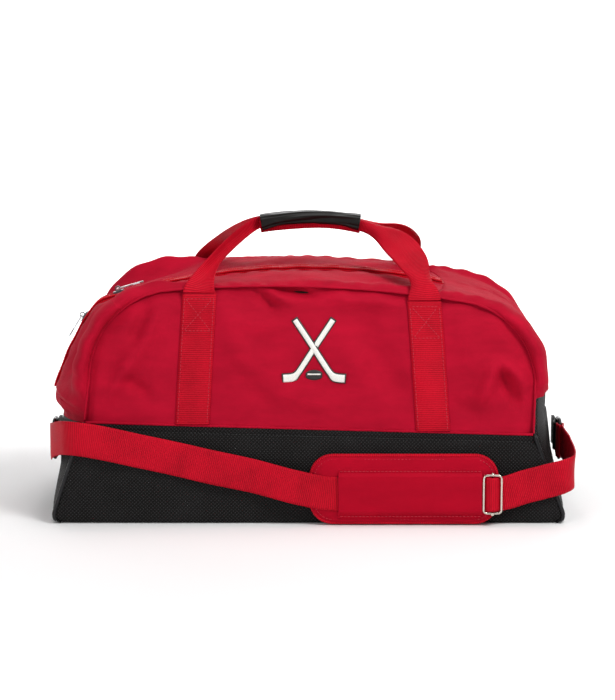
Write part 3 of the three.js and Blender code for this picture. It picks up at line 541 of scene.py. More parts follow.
def cloth_between(name, outer, inner, uv):
    """A closed piece of cloth between two grids of points that lie back to back."""
    corner = numbers(*outer.shape[:2])
    count = corner.size
    border = border_of(corner)
    following = np.roll(border, -1)
    faces = np.concatenate([
        quads(corner),
        quads(corner + count)[:, ::-1],
        np.stack([following, border, border + count, following + count], axis=-1),
    ])
    points = np.concatenate([outer.reshape(-1, 3), inner.reshape(-1, 3)])
    return put_mesh(name, points, [faces], np.tile(uv.reshape(-1, 2), (2, 1)))


def cloth_piece(name, points, uv, thickness=CLOTH):
    """Cloth whose outer face is a grid of points, thickened towards the bag's middle."""
    return cloth_between(name, points, points - outward(points) * thickness, uv)


def grid_uv(points):
    """Distances in millimetres along the two directions of a grid, for patterns that follow the cloth."""
    along = np.linalg.norm(np.diff(points, axis=0), axis=2)
    across = np.linalg.norm(np.diff(points, axis=1), axis=2)
    u = np.concatenate([np.zeros((1, points.shape[1])), np.cumsum(along, axis=0)])
    v = np.concatenate([np.zeros((points.shape[0], 1)), np.cumsum(across, axis=1)], axis=1)
    return np.stack([u.mean(axis=1, keepdims=True) + 0 * u, v], axis=-1)


def swept(name, path, section, across, closed=False):
    """A profile carried along a path.

    section is (path points, profile points, 2): each profile's places along across and along the
    direction square to both across and the path.
    """
    path = np.asarray(path, float)
    if closed:
        run = np.roll(path, -1, axis=0) - np.roll(path, 1, axis=0)
    else:
        run = np.gradient(path, axis=0)
    run = unit(run)
    across = np.broadcast_to(across, path.shape)
    across = unit(across - run * np.sum(across * run, axis=1, keepdims=True))
    upward = np.cross(run, across)
    section = np.broadcast_to(section, (len(path),) + section.shape[-2:])
    points = path[:, None] + across[:, None] * section[..., :1] + upward[:, None] * section[..., 1:]
    rows, columns = points.shape[:2]
    if closed:
        ring = numbers(rows, columns)
        faces = [quads(closed_rows(np.concatenate([ring, ring[:1]])))]
    else:
        faces = tube_faces(1, rows, columns)
    far = np.broadcast_to(lengths_along(path)[:, None], (rows, columns))
    round_it = np.broadcast_to(lengths_along(section[0])[None], (rows, columns))
    return put_mesh(name, points, faces, np.stack([far, round_it], axis=-1))


def round_section(radius, sides=12):
    """A circle, or one for each of several radii."""
    turn = np.arange(sides) * 2 * np.pi / sides
    ring = np.stack([np.cos(turn), np.sin(turn)], axis=-1)
    return np.multiply.outer(np.atleast_1d(radius), ring)


def strip_section(across, outer, inner):
    """A strip's profile, or one for each of several rows: out along one face and back along the other."""
    back = np.stack([across, inner], axis=-1)[..., ::-1, :]
    return np.concatenate([np.stack([across, outer], axis=-1), back], axis=-2)


def rounded_box_line(width, height, radius, count):
    """A rectangle with round corners, as a closed line of about count points round its own middle."""
    turn = np.linspace(0, np.pi / 2, count // 4 + 1)
    corner = radius * np.stack([np.cos(turn), np.sin(turn)], axis=-1)
    x, y = width / 2 - radius, height / 2 - radius
    quarter = [((x, y), corner), ((-x, y), corner[:, ::-1] * (-1, 1)),
               ((-x, -y), -corner), ((x, -y), corner[:, ::-1] * (1, -1))]
    return np.concatenate([np.add(middle, line) for middle, line in quarter])


def stitch_row(name, line, normals):
    """Stitches along a line: short threads that rise from the cloth, arch over and go back in.

    Each is a tube of six sides and five rings. The rings' height follows half a sine.
    """
    space, radius = 1.1, 0.42
    length = sizes().stitch_length / MM
    starts = np.arange(space, lengths_along(line)[-1] - length, length + space)
    share = np.linspace(0, 1, 5)
    distance = starts[:, None] + share * length
    middle = at_length(line, distance)
    normal = unit(values_at(line, normals, distance))
    run = unit(at_length(line, starts + length) - at_length(line, starts))[:, None]
    sideways = unit(np.cross(run + 0 * normal, normal))
    middle = middle + normal * (radius * 1.1 * np.sin(np.pi * share) - radius * 0.25)[None, :, None]
    turn = np.arange(6) * np.pi / 3
    size = radius * np.array([0.45, 0.9, 1, 0.9, 0.45])[None, :, None, None]
    points = (middle[:, :, None] + sideways[:, :, None] * np.cos(turn)[:, None] * size
              + normal[:, :, None] * np.sin(turn)[:, None] * size)
    return put_mesh(name, points, tube_faces(len(starts), 5, 6))


def tube_faces(count, rings, sides):
    """Faces of several capped tubes whose points follow each other."""
    ring = numbers(rings, sides)
    caps = np.stack([ring[0, ::-1], ring[-1]])
    step = (np.arange(count) * rings * sides)[:, None, None]
    return [(quads(closed_rows(ring)) + step).reshape(-1, 4), (caps + step).reshape(-1, sides)]


def joined(name, pieces):
    """One object from several, with their meshes put together."""
    with bpy.context.temp_override(active_object=pieces[0], selected_editable_objects=pieces,
                                   object=pieces[0], selected_objects=pieces):
        bpy.ops.object.join()
    pieces[0].name = name
    pieces[0].data.name = name
    return pieces[0]


def coated(obj, material):
    """Gives an object one material in place of its own."""
    obj.data.materials.clear()
    obj.data.materials.append(material)


def fitted(obj, material, body, slot, *nodes):
    """Gives a piece its material and its CAD body, and hides the CAD nodes that it stands for. slot is not
    used.
    """
    coated(obj, material)
    if nodes:
        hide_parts(*nodes)
    if body:
        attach(obj, body)
    return obj


# ---- materials ----


def set_sockets(tree, node, inputs):
    """Sets a node's inputs by socket: an output is linked, and anything else is the socket's value."""
    for key, value in inputs.items():
        if isinstance(value, bpy.types.NodeSocket):
            tree.links.new(value, node.inputs[key])
        else:
            node.inputs[key].default_value = value


def add_node(tree, kind, inputs=None, stops=(), **settings):
    """Adds a node. inputs holds values or outputs by socket, and stops a ramp's places and colours."""
    node = tree.nodes.new("ShaderNode" + kind)
    for key, value in settings.items():
        setattr(node, key, value)
    for k, (place, colour) in enumerate(stops):
        node.color_ramp.elements[k].position = place
        node.color_ramp.elements[k].color = colour
    set_sockets(tree, node, inputs or {})
    return node


def new_material(name):
    """An empty material with its shader. Returns the material, its tree and the shader."""
    material = bpy.data.materials.new(name)
    material.use_nodes = True
    tree = material.node_tree
    return material, tree, tree.nodes["Principled BSDF"]


def once(maker):
    """Makes a material the first time that it is asked for, and then gives the same one."""
    made = {}

    def get():
        if "it" not in made:
            made["it"] = maker()
        return made["it"]

    return get


def bands_scale(pitch):
    """Scale of a wave texture whose bands lie pitch metres apart."""
    return np.pi / 10 / pitch


def shade(colour, factor):
    """A colour made lighter or darker by a factor, with full opacity."""
    return (*[min(1.0, c * factor) for c in colour], 1)


def woven_polyester(name, colour, roughness=0.72, cloudy=1.0):
    """Oxford polyester, plain woven and dyed: a matt face with a fine grid of threads and a slight sheen.

    The threads are 0.45 mm apart, and drawn 1.1 mm apart so that they show. The tone wanders over about
    70 mm along the cloth, and its crumples are about 24 mm across.
    """
    material, tree, shader = new_material(name)
    where = add_node(tree, "TexCoord")
    waves = [add_node(tree, "TexWave", {"Vector": where.outputs["UV"], "Scale": bands_scale(1.1 * MM),
                                        "Distortion": 0.6, "Detail": 1.0, "Detail Scale": 2.0},
                      bands_direction=way) for way in ("X", "Y")]
    weave = add_node(tree, "Math", dict(enumerate(wave.outputs["Fac"] for wave in waves)),
                     operation="MULTIPLY")
    stretch = add_node(tree, "Mapping", {"Vector": where.outputs["Object"], "Scale": (1, 3, 3)})
    cloud = add_node(tree, "TexNoise", {"Vector": stretch.outputs[0], "Scale": 14.0, "Detail": 6.0,
                                        "Roughness": 0.62})
    tone = add_node(tree, "ValToRGB", {"Fac": cloud.outputs["Fac"]},
                    ((0.3, shade(colour, 1 - 0.2 * cloudy)), (0.72, shade(colour, 1 + 0.2 * cloudy))))
    soften = add_node(tree, "Math", {0: weave.outputs[0], 1: 0.6}, operation="MULTIPLY")
    thread = add_node(tree, "Mix", {0: soften.outputs[0], 6: tone.outputs[0], 7: shade(colour, 1.35)},
                      data_type="RGBA")
    crumple = add_node(tree, "TexNoise", {"Vector": where.outputs["Object"], "Scale": 42.0, "Detail": 3.0})
    soft = add_node(tree, "Bump", {"Height": crumple.outputs["Fac"], "Strength": 0.4, "Distance": 2.2 * MM})
    bump = add_node(tree, "Bump", {"Height": weave.outputs[0], "Strength": 0.5, "Distance": 0.3 * MM,
                                   "Normal": soft.outputs[0]})
    set_sockets(tree, shader, {
        "Base Color": thread.outputs[2], "Normal": bump.outputs[0], "Roughness": roughness,
        "Sheen Weight": 0.02, "Sheen Roughness": 0.35, "Sheen Tint": (1.0, 0.2, 0.25, 1),
        "Specular IOR Level": 0.05})
    return material


@once
def panel_cloth():
    """Red oxford polyester of the upper bag."""
    return woven_polyester("red_oxford_polyester", colours().panel)


@once
def pad_cloth():
    """Red polyester twill of the shoulder pad: smoother and a little darker than the bag's."""
    return woven_polyester("red_polyester_twill", colours().pad, 0.65, 0.6)


def ribbed_webbing(name, colour, sheen_tint=(1.0, 0.15, 0.2, 1)):
    """Polypropylene webbing, woven with ribs across it: bright and a little glossy, with a warp grain.

    The warp threads are 0.8 mm apart, and drawn 1.6 mm apart so that they show.
    """
    material, tree, shader = new_material(name)
    where = add_node(tree, "TexCoord")
    ribs = add_node(tree, "TexWave", {"Vector": where.outputs["UV"], "Distortion": 0.4, "Detail": 2.0,
                                      "Scale": bands_scale(sizes().rib_pitch)},
                    bands_direction="X")
    warp = add_node(tree, "TexWave", {"Vector": where.outputs["UV"], "Scale": bands_scale(1.6 * MM),
                                      "Distortion": 0.8, "Detail": 1.0}, bands_direction="Y")
    height = add_node(tree, "Math", {0: warp.outputs["Fac"], 1: 0.45, 2: ribs.outputs["Fac"]},
                      operation="MULTIPLY_ADD")
    cloud = add_node(tree, "TexNoise", {"Vector": where.outputs["Object"], "Scale": 26.0, "Detail": 4.0})
    blend = add_node(tree, "Math", {0: ribs.outputs["Fac"], 1: 0.55, 2: cloud.outputs["Fac"]},
                     operation="MULTIPLY_ADD")
    tone = add_node(tree, "ValToRGB", {"Fac": blend.outputs[0]},
                    ((0.35, shade(colour, 0.68)), (1.0, shade(colour, 1.3))))
    bump = add_node(tree, "Bump", {"Height": height.outputs[0], "Strength": 0.8, "Distance": 0.5 * MM})
    rough = add_node(tree, "MapRange", {"Value": cloud.outputs["Fac"], "To Min": 0.42, "To Max": 0.6})
    set_sockets(tree, shader, {
        "Base Color": tone.outputs[0], "Normal": bump.outputs[0], "Roughness": rough.outputs[0],
        "Sheen Weight": 0.03, "Sheen Roughness": 0.35, "Sheen Tint": sheen_tint,
        "Specular IOR Level": 0.07})
    return material


@once
def red_webbing():
    """Red webbing of the handles and the strap."""
    return ribbed_webbing("red_polypropylene_webbing", colours().webbing)


@once
def black_webbing():
    """Black webbing that holds the strap's rings."""
    return ribbed_webbing("black_polypropylene_webbing", linear("211f1d"), (0.8, 0.85, 0.9, 1))


@once
def zip_cloth():
    """Polyester zip tape: finely ribbed, with a satin face."""
    return ribbed_webbing("red_zip_tape", colours().zip_tape)


@once
def base_cloth():
    """Ballistic polyester of the base: a coarse basket weave of thick shiny yarn, coated behind.

    Its painted highlights lean to blue: the tops of the woven yarns are painted a lighter grey. The yarns are
    about 1.4 mm apart, and drawn twice as coarse so that they show.
    """
    material, tree, shader = new_material("black_ballistic_polyester")
    where = add_node(tree, "TexCoord")
    turned = add_node(tree, "Mapping", {"Vector": where.outputs["UV"], "Rotation": (0, 0, np.pi / 4)})
    waves = [add_node(tree, "TexWave", {"Vector": turned.outputs[0], "Distortion": 0.5, "Detail": 1.0,
                                        "Scale": bands_scale(sizes().base_weave)},
                      bands_direction=way) for way in ("X", "Y")]
    weave = add_node(tree, "Math", dict(enumerate(wave.outputs["Fac"] for wave in waves)),
                     operation="MULTIPLY")
    cloud = add_node(tree, "TexNoise", {"Vector": where.outputs["Object"], "Scale": 18.0, "Detail": 4.0})
    # Painted highlight: the weave's yarn tops are painted a lighter blue-grey in the colour, over a random
    # cloudy tone.
    blend = add_node(tree, "Math", {0: cloud.outputs["Fac"], 1: 0.5, 2: weave.outputs[0]},
                     operation="MULTIPLY_ADD")
    tone = add_node(tree, "ValToRGB", {"Fac": blend.outputs[0]},
                    ((0.25, shade(colours().base, 0.5)), (1.0, (*linear("2c2b2c"), 1))))
    bump = add_node(tree, "Bump", {"Height": weave.outputs[0], "Strength": 1.0, "Distance": 0.9 * MM})
    rough = add_node(tree, "MapRange", {"Value": weave.outputs[0], "To Min": 0.7, "To Max": 0.42})
    set_sockets(tree, shader, {
        "Base Color": tone.outputs[0], "Normal": bump.outputs[0], "Roughness": rough.outputs[0],
        "Specular IOR Level": 0.14})
    return material


def grained(name, colour, roughness, grain_scale, strength, specular=0.5):
    """A dark moulded or coated surface with a fine leather-like grain that breaks its highlights.

    grain_scale is the number of grains in a metre. On leathercloth they are about 0.5 mm across, and drawn
    1.1 mm across so that they show.
    """
    material, tree, shader = new_material(name)
    where = add_node(tree, "TexCoord")
    cells = add_node(tree, "TexVoronoi", {"Vector": where.outputs["Object"], "Scale": grain_scale})
    cloud = add_node(tree, "TexNoise", {"Vector": where.outputs["Object"], "Scale": grain_scale / 12,
                                        "Detail": 4.0})
    tone = add_node(tree, "ValToRGB", {"Fac": cloud.outputs["Fac"]},
                    ((0, shade(colour, 0.75)), (1, shade(colour, 1.35))))
    bump = add_node(tree, "Bump", {"Height": cells.outputs["Distance"], "Strength": strength,
                                   "Distance": 0.3 * MM})
    rough = add_node(tree, "MapRange", {"Value": cloud.outputs["Fac"], "To Min": roughness - 0.08,
                                        "To Max": roughness + 0.1})
    set_sockets(tree, shader, {
        "Base Color": tone.outputs[0], "Normal": bump.outputs[0], "Roughness": rough.outputs[0],
        "Specular IOR Level": specular})
    return material


@once
def grip_leather():
    """PVC leathercloth of the handle wrap: soft black with a satin gloss on its creases."""
    return grained("black_leathercloth", colours().grip, 0.42, 900.0, 0.25, 0.22)


@once
def piping_vinyl():
    """Vinyl piping of the base's corners: smooth black with long highlights."""
    return grained("black_vinyl_piping", linear("141416"), 0.32, 500.0, 0.08, 0.3)


@once
def board_plastic():
    """Corrugated polypropylene board that stiffens the floor of the bag: dull dark grey."""
    return grained("grey_polypropylene_board", linear("3a3a3a"), 0.55, 350.0, 0.15)


@once
def ring_enamel():
    """Black baked enamel on steel wire: glossy, with slight orange peel."""
    return grained("black_enamel_wire", linear("17171a"), 0.28, 260.0, 0.05, 0.6)


def metal(name, colour, roughness):
    """A plated metal whose fine scratches spread its reflections: 3 mm by 0.35 mm, coarser than real ones."""
    material, tree, shader = new_material(name)
    where = add_node(tree, "TexCoord")
    stretch = add_node(tree, "Mapping", {"Vector": where.outputs["Object"], "Scale": (1, 1, 9)})
    scratch = add_node(tree, "TexNoise", {"Vector": stretch.outputs[0], "Scale": 320.0, "Detail": 5.0})
    tone = add_node(tree, "ValToRGB", {"Fac": scratch.outputs["Fac"]},
                    ((0, shade(colour, 0.86)), (1, shade(colour, 1.06))))
    rough = add_node(tree, "MapRange", {"Value": scratch.outputs["Fac"], "To Min": roughness - 0.05,
                                        "To Max": roughness + 0.1})
    bump = add_node(tree, "Bump", {"Height": scratch.outputs["Fac"], "Strength": 0.06, "Distance": 0.1 * MM})
    set_sockets(tree, shader, {
        "Base Color": tone.outputs[0], "Normal": bump.outputs[0], "Roughness": rough.outputs[0],
        "Metallic": 1.0})
    return material


@once
def bright_steel():
    """Nickel-plated steel wire of the adjuster: bright and warm."""
    return metal("nickel_plated_steel", linear("d9d4c8"), 0.2)


@once
def puller_zinc():
    """Nickel-plated zinc casting of the zip pullers."""
    return metal("nickel_plated_zinc", linear("cfd1d4"), 0.24)


@once
def slider_zinc():
    """Gunmetal-plated zinc casting of the zip sliders: dark and shiny."""
    return metal("gunmetal_zinc", linear("6a6b70"), 0.3)


def thread(name, colour, roughness=0.5):
    """Twisted polyester thread: fine bright lines along each stitch, drawn 0.5 mm apart."""
    material, tree, shader = new_material(name)
    where = add_node(tree, "TexCoord")
    turned = add_node(tree, "Mapping", {"Vector": where.outputs["Object"], "Rotation": (0, np.pi / 5, 0)})
    twist = add_node(tree, "TexWave", {"Vector": turned.outputs[0], "Scale": bands_scale(0.5 * MM),
                                       "Distortion": 1.0}, bands_direction="X")
    tone = add_node(tree, "ValToRGB", {"Fac": twist.outputs["Fac"]},
                    ((0, shade(colour, 0.8)), (1, shade(colour, 1.15))))
    bump = add_node(tree, "Bump", {"Height": twist.outputs["Fac"], "Strength": 0.4, "Distance": 0.15 * MM})
    set_sockets(tree, shader, {
        "Base Color": tone.outputs[0], "Normal": bump.outputs[0], "Roughness": roughness,
        "Sheen Weight": 0.05})
    return material


@once
def red_thread():
    """Red sewing thread."""
    return thread("red_polyester_thread", linear("c01230"))


@once
def black_thread():
    """Black sewing thread."""
    return thread("black_polyester_thread", linear("1d1c1c"))


@once
def white_thread():
    """White embroidery thread, glossier than the sewing thread."""
    return thread("white_rayon_thread", linear("f4f1ea"), 0.4)


@once
def coil_nylon():
    """Nylon monofilament of the zip's coils: smooth and bright, with a hard gloss."""
    return thread("red_nylon_coil", linear("c40d26"), 0.32)


@once
def studio_paper():
    """Pale seamless paper under and behind the bag."""
    material, tree, shader = new_material("pale_studio_paper")
    where = add_node(tree, "TexCoord")
    cloud = add_node(tree, "TexNoise", {"Vector": where.outputs["Object"], "Scale": 3.0, "Detail": 2.0})
    tone = add_node(tree, "ValToRGB", {"Fac": cloud.outputs["Fac"]},
                    ((0, (*linear("f5f5f5"), 1)), (1, (*linear("fafafa"), 1))))
    set_sockets(tree, shader, {"Base Color": tone.outputs[0], "Roughness": 0.9})
    return material


# ---- base ----


def corner_inset(z):
    """How far the base's lower corners are rounded off at a height."""
    up = np.clip(BASE_CORNER - z, 0, BASE_CORNER)
    return BASE_CORNER - np.sqrt(BASE_CORNER ** 2 - up ** 2)


def base_wall(side):
    """Front or back wall of the base: x runs between the corner seams and z from the ground to the seam."""
    a, b = grid(60, 260)
    left_x, left_z = on_rim(FRONT_RIM, mix(0.004, 0.999, a))
    right_x, right_z = on_rim(FRONT_RIM, mix(6.996, 6.001, a))
    z = mix(left_z, right_z, b) + 1.5 * hump(b, 0.02, 0.1) * (1 - a)
    x = mix(left_x + corner_inset(z), right_x - corner_inset(z), b)
    to_corner = np.minimum(b, 1 - b) * BASE_LENGTH
    y = side * (wall_out(x, z, side) - 2 * hump(to_corner, 0, 5) - 1.2 * hump(to_corner, 9, 3))
    points = np.stack([x, y, z], axis=-1)
    return points, np.stack([x, z], axis=-1)


def end_wall(start, end, word):
    """A black end wall: part of the wall round the bag, with hollows between its corners."""
    a, b = grid(60, 120)
    share = mix(-0.995, 0.995, b)
    points = around(mix(start, end, a), share)
    z = points[..., 2]
    points[..., 0] += np.sign(points[..., 0]) * -corner_inset(z)
    crease = 3 * np.sin(np.pi * a) * np.sin(np.pi * b) * np.sin(3.4 * np.pi * b + 2.5 * a)
    to_corner = np.minimum(b, 1 - b) * (2 * HALF_DEPTH - 10)
    points += outward(points) * (crease - 1.5 * hump(to_corner, 9, 3))[..., None]
    return cloth_piece(f"end_wall_{word}", points, np.stack([points[..., 1], z], axis=-1))


def base_floor():
    """Black floor of the bag: a sheet that sags by a few millimetres between its edges, on the ground."""
    a, b = grid(120, 60)
    y = mix(-1, 1, b) * (HALF_DEPTH - 5)
    bow = 1 - (y / HALF_DEPTH) ** 2
    x = mix(-HALF_LEFT + 3 - 12 * bow, HALF_RIGHT - 3 + 9 * bow, a)
    ripple = 0.5 + 0.5 * np.sin(x / 31) * np.sin(y / 27)
    z = 0.35 + ripple * 1.1 + 2.4 * smooth(np.maximum(abs(a - 0.5), abs(b - 0.5)), 0.485, 0.5)
    points = np.stack([x, y, z], axis=-1)
    return cloth_between("base_floor", points + (0, 0, CLOTH), points, np.stack([x, y], axis=-1))


def corner_line(rim_end, side, out):
    """A base corner from the ground to its seam, standing out of the cloth by out."""
    t = np.linspace(0.03, 0.985, 60)
    x, z = on_rim(FRONT_RIM, t if rim_end == "left" else 7 - t)
    outside = -1 if rim_end == "left" else 1
    x = x - outside * corner_inset(z) + outside * out
    return np.stack([x, side * (depth_at(z) + 0.3 * out - 2 + 2.0 * smooth(z, 0, 30)), z], axis=-1)


def corner_welt(rim_end, side):
    """Vinyl piping up a corner of the base: a round welt, pinched a little at every stitch."""
    line = corner_line(rim_end, side, 0.5)
    radius = 2.3 + 0.12 * np.sin(lengths_along(line) * 1.6)
    radius[[0, -1]] = 1.4
    return swept(f"corner_welt_{rim_end}_{word_of(side)}", line, round_section(radius), (1, 0, 0))


def bottom_welt():
    """Piping round the edge of the floor: a closed line with round corners."""
    outline = rounded_box_line(BASE_LENGTH - 14, 2 * HALF_DEPTH - 12, 20, 40)
    middle = (HALF_RIGHT - HALF_LEFT) / 2
    x = outline[:, 0] + middle
    bow = np.where(x > 0, 10, -13) * np.clip(1 - (outline[:, 1] / HALF_DEPTH) ** 2, 0, 1) * (abs(x) > 260)
    line = np.stack([x + bow, outline[:, 1], np.full(len(x), 3.1)], axis=-1)
    return swept("bottom_welt", evenly_round(line, 500), round_section(2.1, 10), (0, 0, 1), closed=True)


def wall_line(x, z, side, out):
    """Points on the front or back wall, standing out of the cloth by out, and the wall's normals there."""
    line = np.stack([x, side * (wall_out(x, z, side) + out), z], axis=-1)
    step = 0.5
    slope_x, slope_z = [(wall_out(x + dx, z + dz, side) - wall_out(x - dx, z - dz, side)) / (2 * step)
                        for dx, dz in ((step, 0), (0, step))]
    return line, unit(np.stack([-slope_x, np.full(len(x), float(side)), -slope_z], axis=-1))


def base_seam(side):
    """Rolled seam where the red panel meets the base: a flat welt of the red cloth's turned edge."""
    x = np.linspace(FRONT_LEFT - 4, FRONT_RIGHT - 3, 260)
    z = seam_height(x)
    line = np.stack([x, side * (depth_at(z) + 0.4 + 0.3 * np.sin(x / 7)), z], axis=-1)
    welt = swept(f"base_seam_{word_of(side)}", line, round_section(1, 10) * (0.9, 1.5), (0, 1, 0))
    row, normals = wall_line(x, z - 9, side, 0.1)
    return welt, stitch_row(f"base_stitches_{word_of(side)}", row, normals)


class HoldallBase(bpy.types.Operator):
    """Black base: front, back and end walls, floor, piping and the stitched seam above it"""

    bl_idname = "holdall.base"
    bl_label = "Base"

    def execute(self, context):
        for side, word in SIDES:
            points, uv = base_wall(side)
            wall = fitted(cloth_piece(f"base_wall_{word}", points, uv), base_cloth(), "bag", "black_cloth",
                          f"base_band_{word}")
            welt, stitches = base_seam(side)
            fitted(welt, panel_cloth(), "bag", "red_cloth")
            fitted(stitches, black_thread(), "bag", "thread_black")
            for rim_end in ("left", "right"):
                fitted(corner_welt(rim_end, side), piping_vinyl(), "bag", "black_piping",
                       f"corner_piping_{word}_{rim_end}")
        for word, start, end, height in (("left", 0.004, 0.998, 0.125), ("right", 6.996, RIGHT_FOLD, 0.16)):
            wall = fitted(end_wall(start, end, word), base_cloth(), "bag", "black_cloth",
                          f"end_panel_{word}")
        floor = fitted(base_floor(), base_cloth(), "bag", "black_cloth", "base_panel")
        fitted(bottom_welt(), piping_vinyl(), "bag", "black_piping")
        coated(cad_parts["base_board"], board_plastic())
        return {"FINISHED"}


# ---- red panels ----


def arch_panel(side):
    """Front or back panel: rays run from the base seam up to the arched seam, on the wall's surface."""
    a, b = grid(150, 330)
    rim_x, rim_z = on_rim(FRONT_RIM, mix(1.02, 5.98, b))
    foot_x = mix(FRONT_LEFT - 5, FRONT_RIGHT - 2, b)
    x = mix(foot_x, rim_x, a)
    z = mix(seam_height(foot_x) + GAP, rim_z, a)
    to_seam = (1 - a) * np.hypot(rim_x - foot_x, rim_z - seam_height(foot_x))
    crease = 1.1 * hump(to_seam, 7, 6) * np.sin(rim_x / 6.5 + 2 * np.sin(rim_x / 41))
    y = side * (wall_out(x, z, side) - 6.0 * hump(to_seam, 0, 11) + crease)
    points = np.stack([x, y, z + back_lift(z, side) * a], axis=-1)
    return cloth_piece(f"panel_cloth_{word_of(side)}", points, np.stack([x, z], axis=-1))


def gusset_relief(station, across, length):
    """Relief of the wall round the zip: it puffs out between its seam (across 0) and the zip (across 1),
    hangs over the seam on the shoulders with a hollow behind, and puckers along both edges."""
    left = smooth(station, 1.1, 1.5) * (1 - smooth(station, 3.1, 3.3))
    shoulder = left + hump(station, 4.6, 0.7)
    puff = 3.4 * np.sin(np.pi * across) ** 0.8 - 8.0 * hump(across, 0.5, 0.22) * left
    overhang = 12.0 * hump(across, 0.15, 0.1) * shoulder
    edges = hump(across, 0.1, 0.16) + hump(across, 0.95, 0.08)
    pucker = 0.9 * np.sin(length / 4.6 + 3 * np.sin(length / 53)) * edges
    crumple = 1.3 * np.sin(length / 19 + 4 * across) * np.sin(np.pi * across)
    return (puff + overhang + pucker + crumple) * smooth(across, 0, 0.06)


def flap_over_seam(station, across):
    """How far the wall's cloth hangs over the panel beside its seam: a soft roll on both shoulders."""
    shoulders = smooth(station, 1.1, 1.6) * (1 - smooth(station, 2.95, 3.13)) + hump(station, 4.65, 0.4)
    return 16.0 * hump(across, 0.07, 0.06) * smooth(across, 0, 0.03) * shoulders


def gusset(name, start, end, near, far, rows, columns):
    """Part of the wall over the ends and top. near and far give its limits as shares of the depth."""
    a, b = grid(rows, columns)
    station = mix(start, end, a)
    depth = depth_at(on_rim(FRONT_RIM, station)[1])
    near_share, far_share = near(depth), far(depth)
    share = mix(near_share, far_share, b)
    points = around(station, share)
    uv = grid_uv(points)
    across = np.clip((1 - abs(share)) / (1 - TAPE_HALF / depth), 0, 1)
    relief = gusset_relief(station, across, uv[..., 0])
    ends = smooth(a, 0, 0.02) * smooth(1 - a, 0, 0.02)
    points = points + outward(points) * (relief * ends)[..., None]
    points[..., 1] += np.sign(share) * flap_over_seam(station, across)
    return cloth_piece(name, points, uv)


def at_seam(side):
    """Limit of a gusset at the seam, as a share of the depth."""
    return lambda depth: np.full_like(depth, side * 0.998)


def at_tape(side):
    """Limit of a gusset at the zip's tape, 1.5 mm over its edge."""
    return lambda depth: side * (TAPE_HALF - 1.5) / depth


def pouch_foot():
    """Rounded lower end of the zip's pouch: the middle line swings from the base's top out to the zip's foot
    on a cubic curve, and the wall's parabola joins it to the two seams."""
    a, b = grid(30, 120)
    corners = np.array([(1 - HALF_LEFT, SEAM_LEFT - 8), (6 - HALF_LEFT, SEAM_LEFT + 3),
                        (-12 - HALF_LEFT, SEAM_LEFT + 2), circle_point(END_CENTRE, END_RADIUS, ZIP_FOOT)])
    middle = cubic(corners, a[..., None])
    seam_x, seam_z = on_rim(FRONT_RIM, mix(1.001, FOOT_STATION, a))
    share = mix(-0.998, 0.998, b)
    bulge = 1 - share ** 2
    x = mix(seam_x, middle[..., 0], bulge)
    z = mix(seam_z, middle[..., 1], bulge)
    crease = 1.2 * np.sin(20 * share) * np.sin(np.pi * a) * bulge
    points = np.stack([x - crease, share * depth_at(seam_z), z], axis=-1)
    return cloth_piece("pouch_foot", points, grid_uv(points))


def arch_seam(side):
    """Seam round a panel: a thin roll of the red cloth that sits 0.3 mm into the cloth, uneven from stitch
    to stitch."""
    x, z = on_rim(FRONT_RIM, np.linspace(1.02, 5.98, 420))
    away = unit(np.stack([x * 0.4, np.full(420, side * 90.0), z - 150], axis=-1))
    line = np.stack([x, side * depth_at(z), z + back_lift(z, side)], axis=-1) - 0.3 * away
    radius = 1.25 + 0.2 * np.sin(lengths_along(line) / 3.1)
    return swept(f"arch_seam_{word_of(side)}", line, round_section(radius, 10), (0, 1, 0))


class HoldallPanels(bpy.types.Operator):
    """Red panels: front and back, the wall over the ends and top on both sides of the zip, and their seams"""

    bl_idname = "holdall.panels"
    bl_label = "Panels"

    def execute(self, context):
        cloth = panel_cloth()
        for side, word in SIDES:
            panel = fitted(arch_panel(side), cloth, "bag", "red_cloth", f"{word}_panel")
            strip = fitted(gusset(f"gusset_cloth_{word}", FOOT_STATION, HEAD_STATION, at_seam(side),
                                  at_tape(side), 420, 60), cloth, "bag", "red_cloth", f"gusset_{word}")
            fitted(arch_seam(side), cloth, "bag", "red_cloth")
            coated(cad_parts[f"seam_binding_{word}"], black_webbing())
        right = fitted(gusset("gusset_cloth_right", HEAD_STATION, RIGHT_FOLD, at_seam(-1), at_seam(1),
                              160, 160), cloth, "bag", "red_cloth", "gusset_right")
        foot = fitted(pouch_foot(), cloth, "bag", "red_cloth", "gusset_left_foot")
        return {"FINISHED"}


# ---- zip ----

ZIP_LINE = np.concatenate([
    arc_line(END_CENTRE, END_RADIUS, ZIP_FOOT, END_START),
    arc_line(BEND_CENTRE, BEND_RADIUS, END_START, CROWN_LEFT)[1:],
    arc_line((0, CROWN_Z), CROWN_RADIUS, CROWN_LEFT, ZIP_HEAD)[1:],
])


def zip_places(distance):
    """Places on the zip's middle line at some distances from its foot, and the directions out of it."""
    line = upright_along_x(ZIP_LINE)
    run = unit(np.gradient(line, axis=0))
    out = np.stack([-run[:, 2], run[:, 1], run[:, 0]], axis=-1)
    return at_length(line, distance), unit(values_at(line, out, distance))


ZIP_LENGTH = np.hypot(*np.diff(ZIP_LINE, axis=0).T).sum()


def zip_tape(side):
    """Half of the zip's tape: flat along the coil, with its outer edge dipping under the gusset's fold."""
    a, b = grid(400, 14)
    middle, out = zip_places(a * ZIP_LENGTH)
    y = side * mix(COIL_HALF * 0.3, TAPE_HALF, b)
    rise = TAPE_THICKNESS / 2 + 0.25 * hump(b, 0.35, 0.1) - 0.8 * smooth(b, 0.75, 1)
    points = middle + out * rise[..., None]
    points[..., 1] = y
    return cloth_between(f"zip_tape_cloth_{word_of(side)}", points, points - out * TAPE_THICKNESS,
                         np.stack([a * ZIP_LENGTH, y], axis=-1))


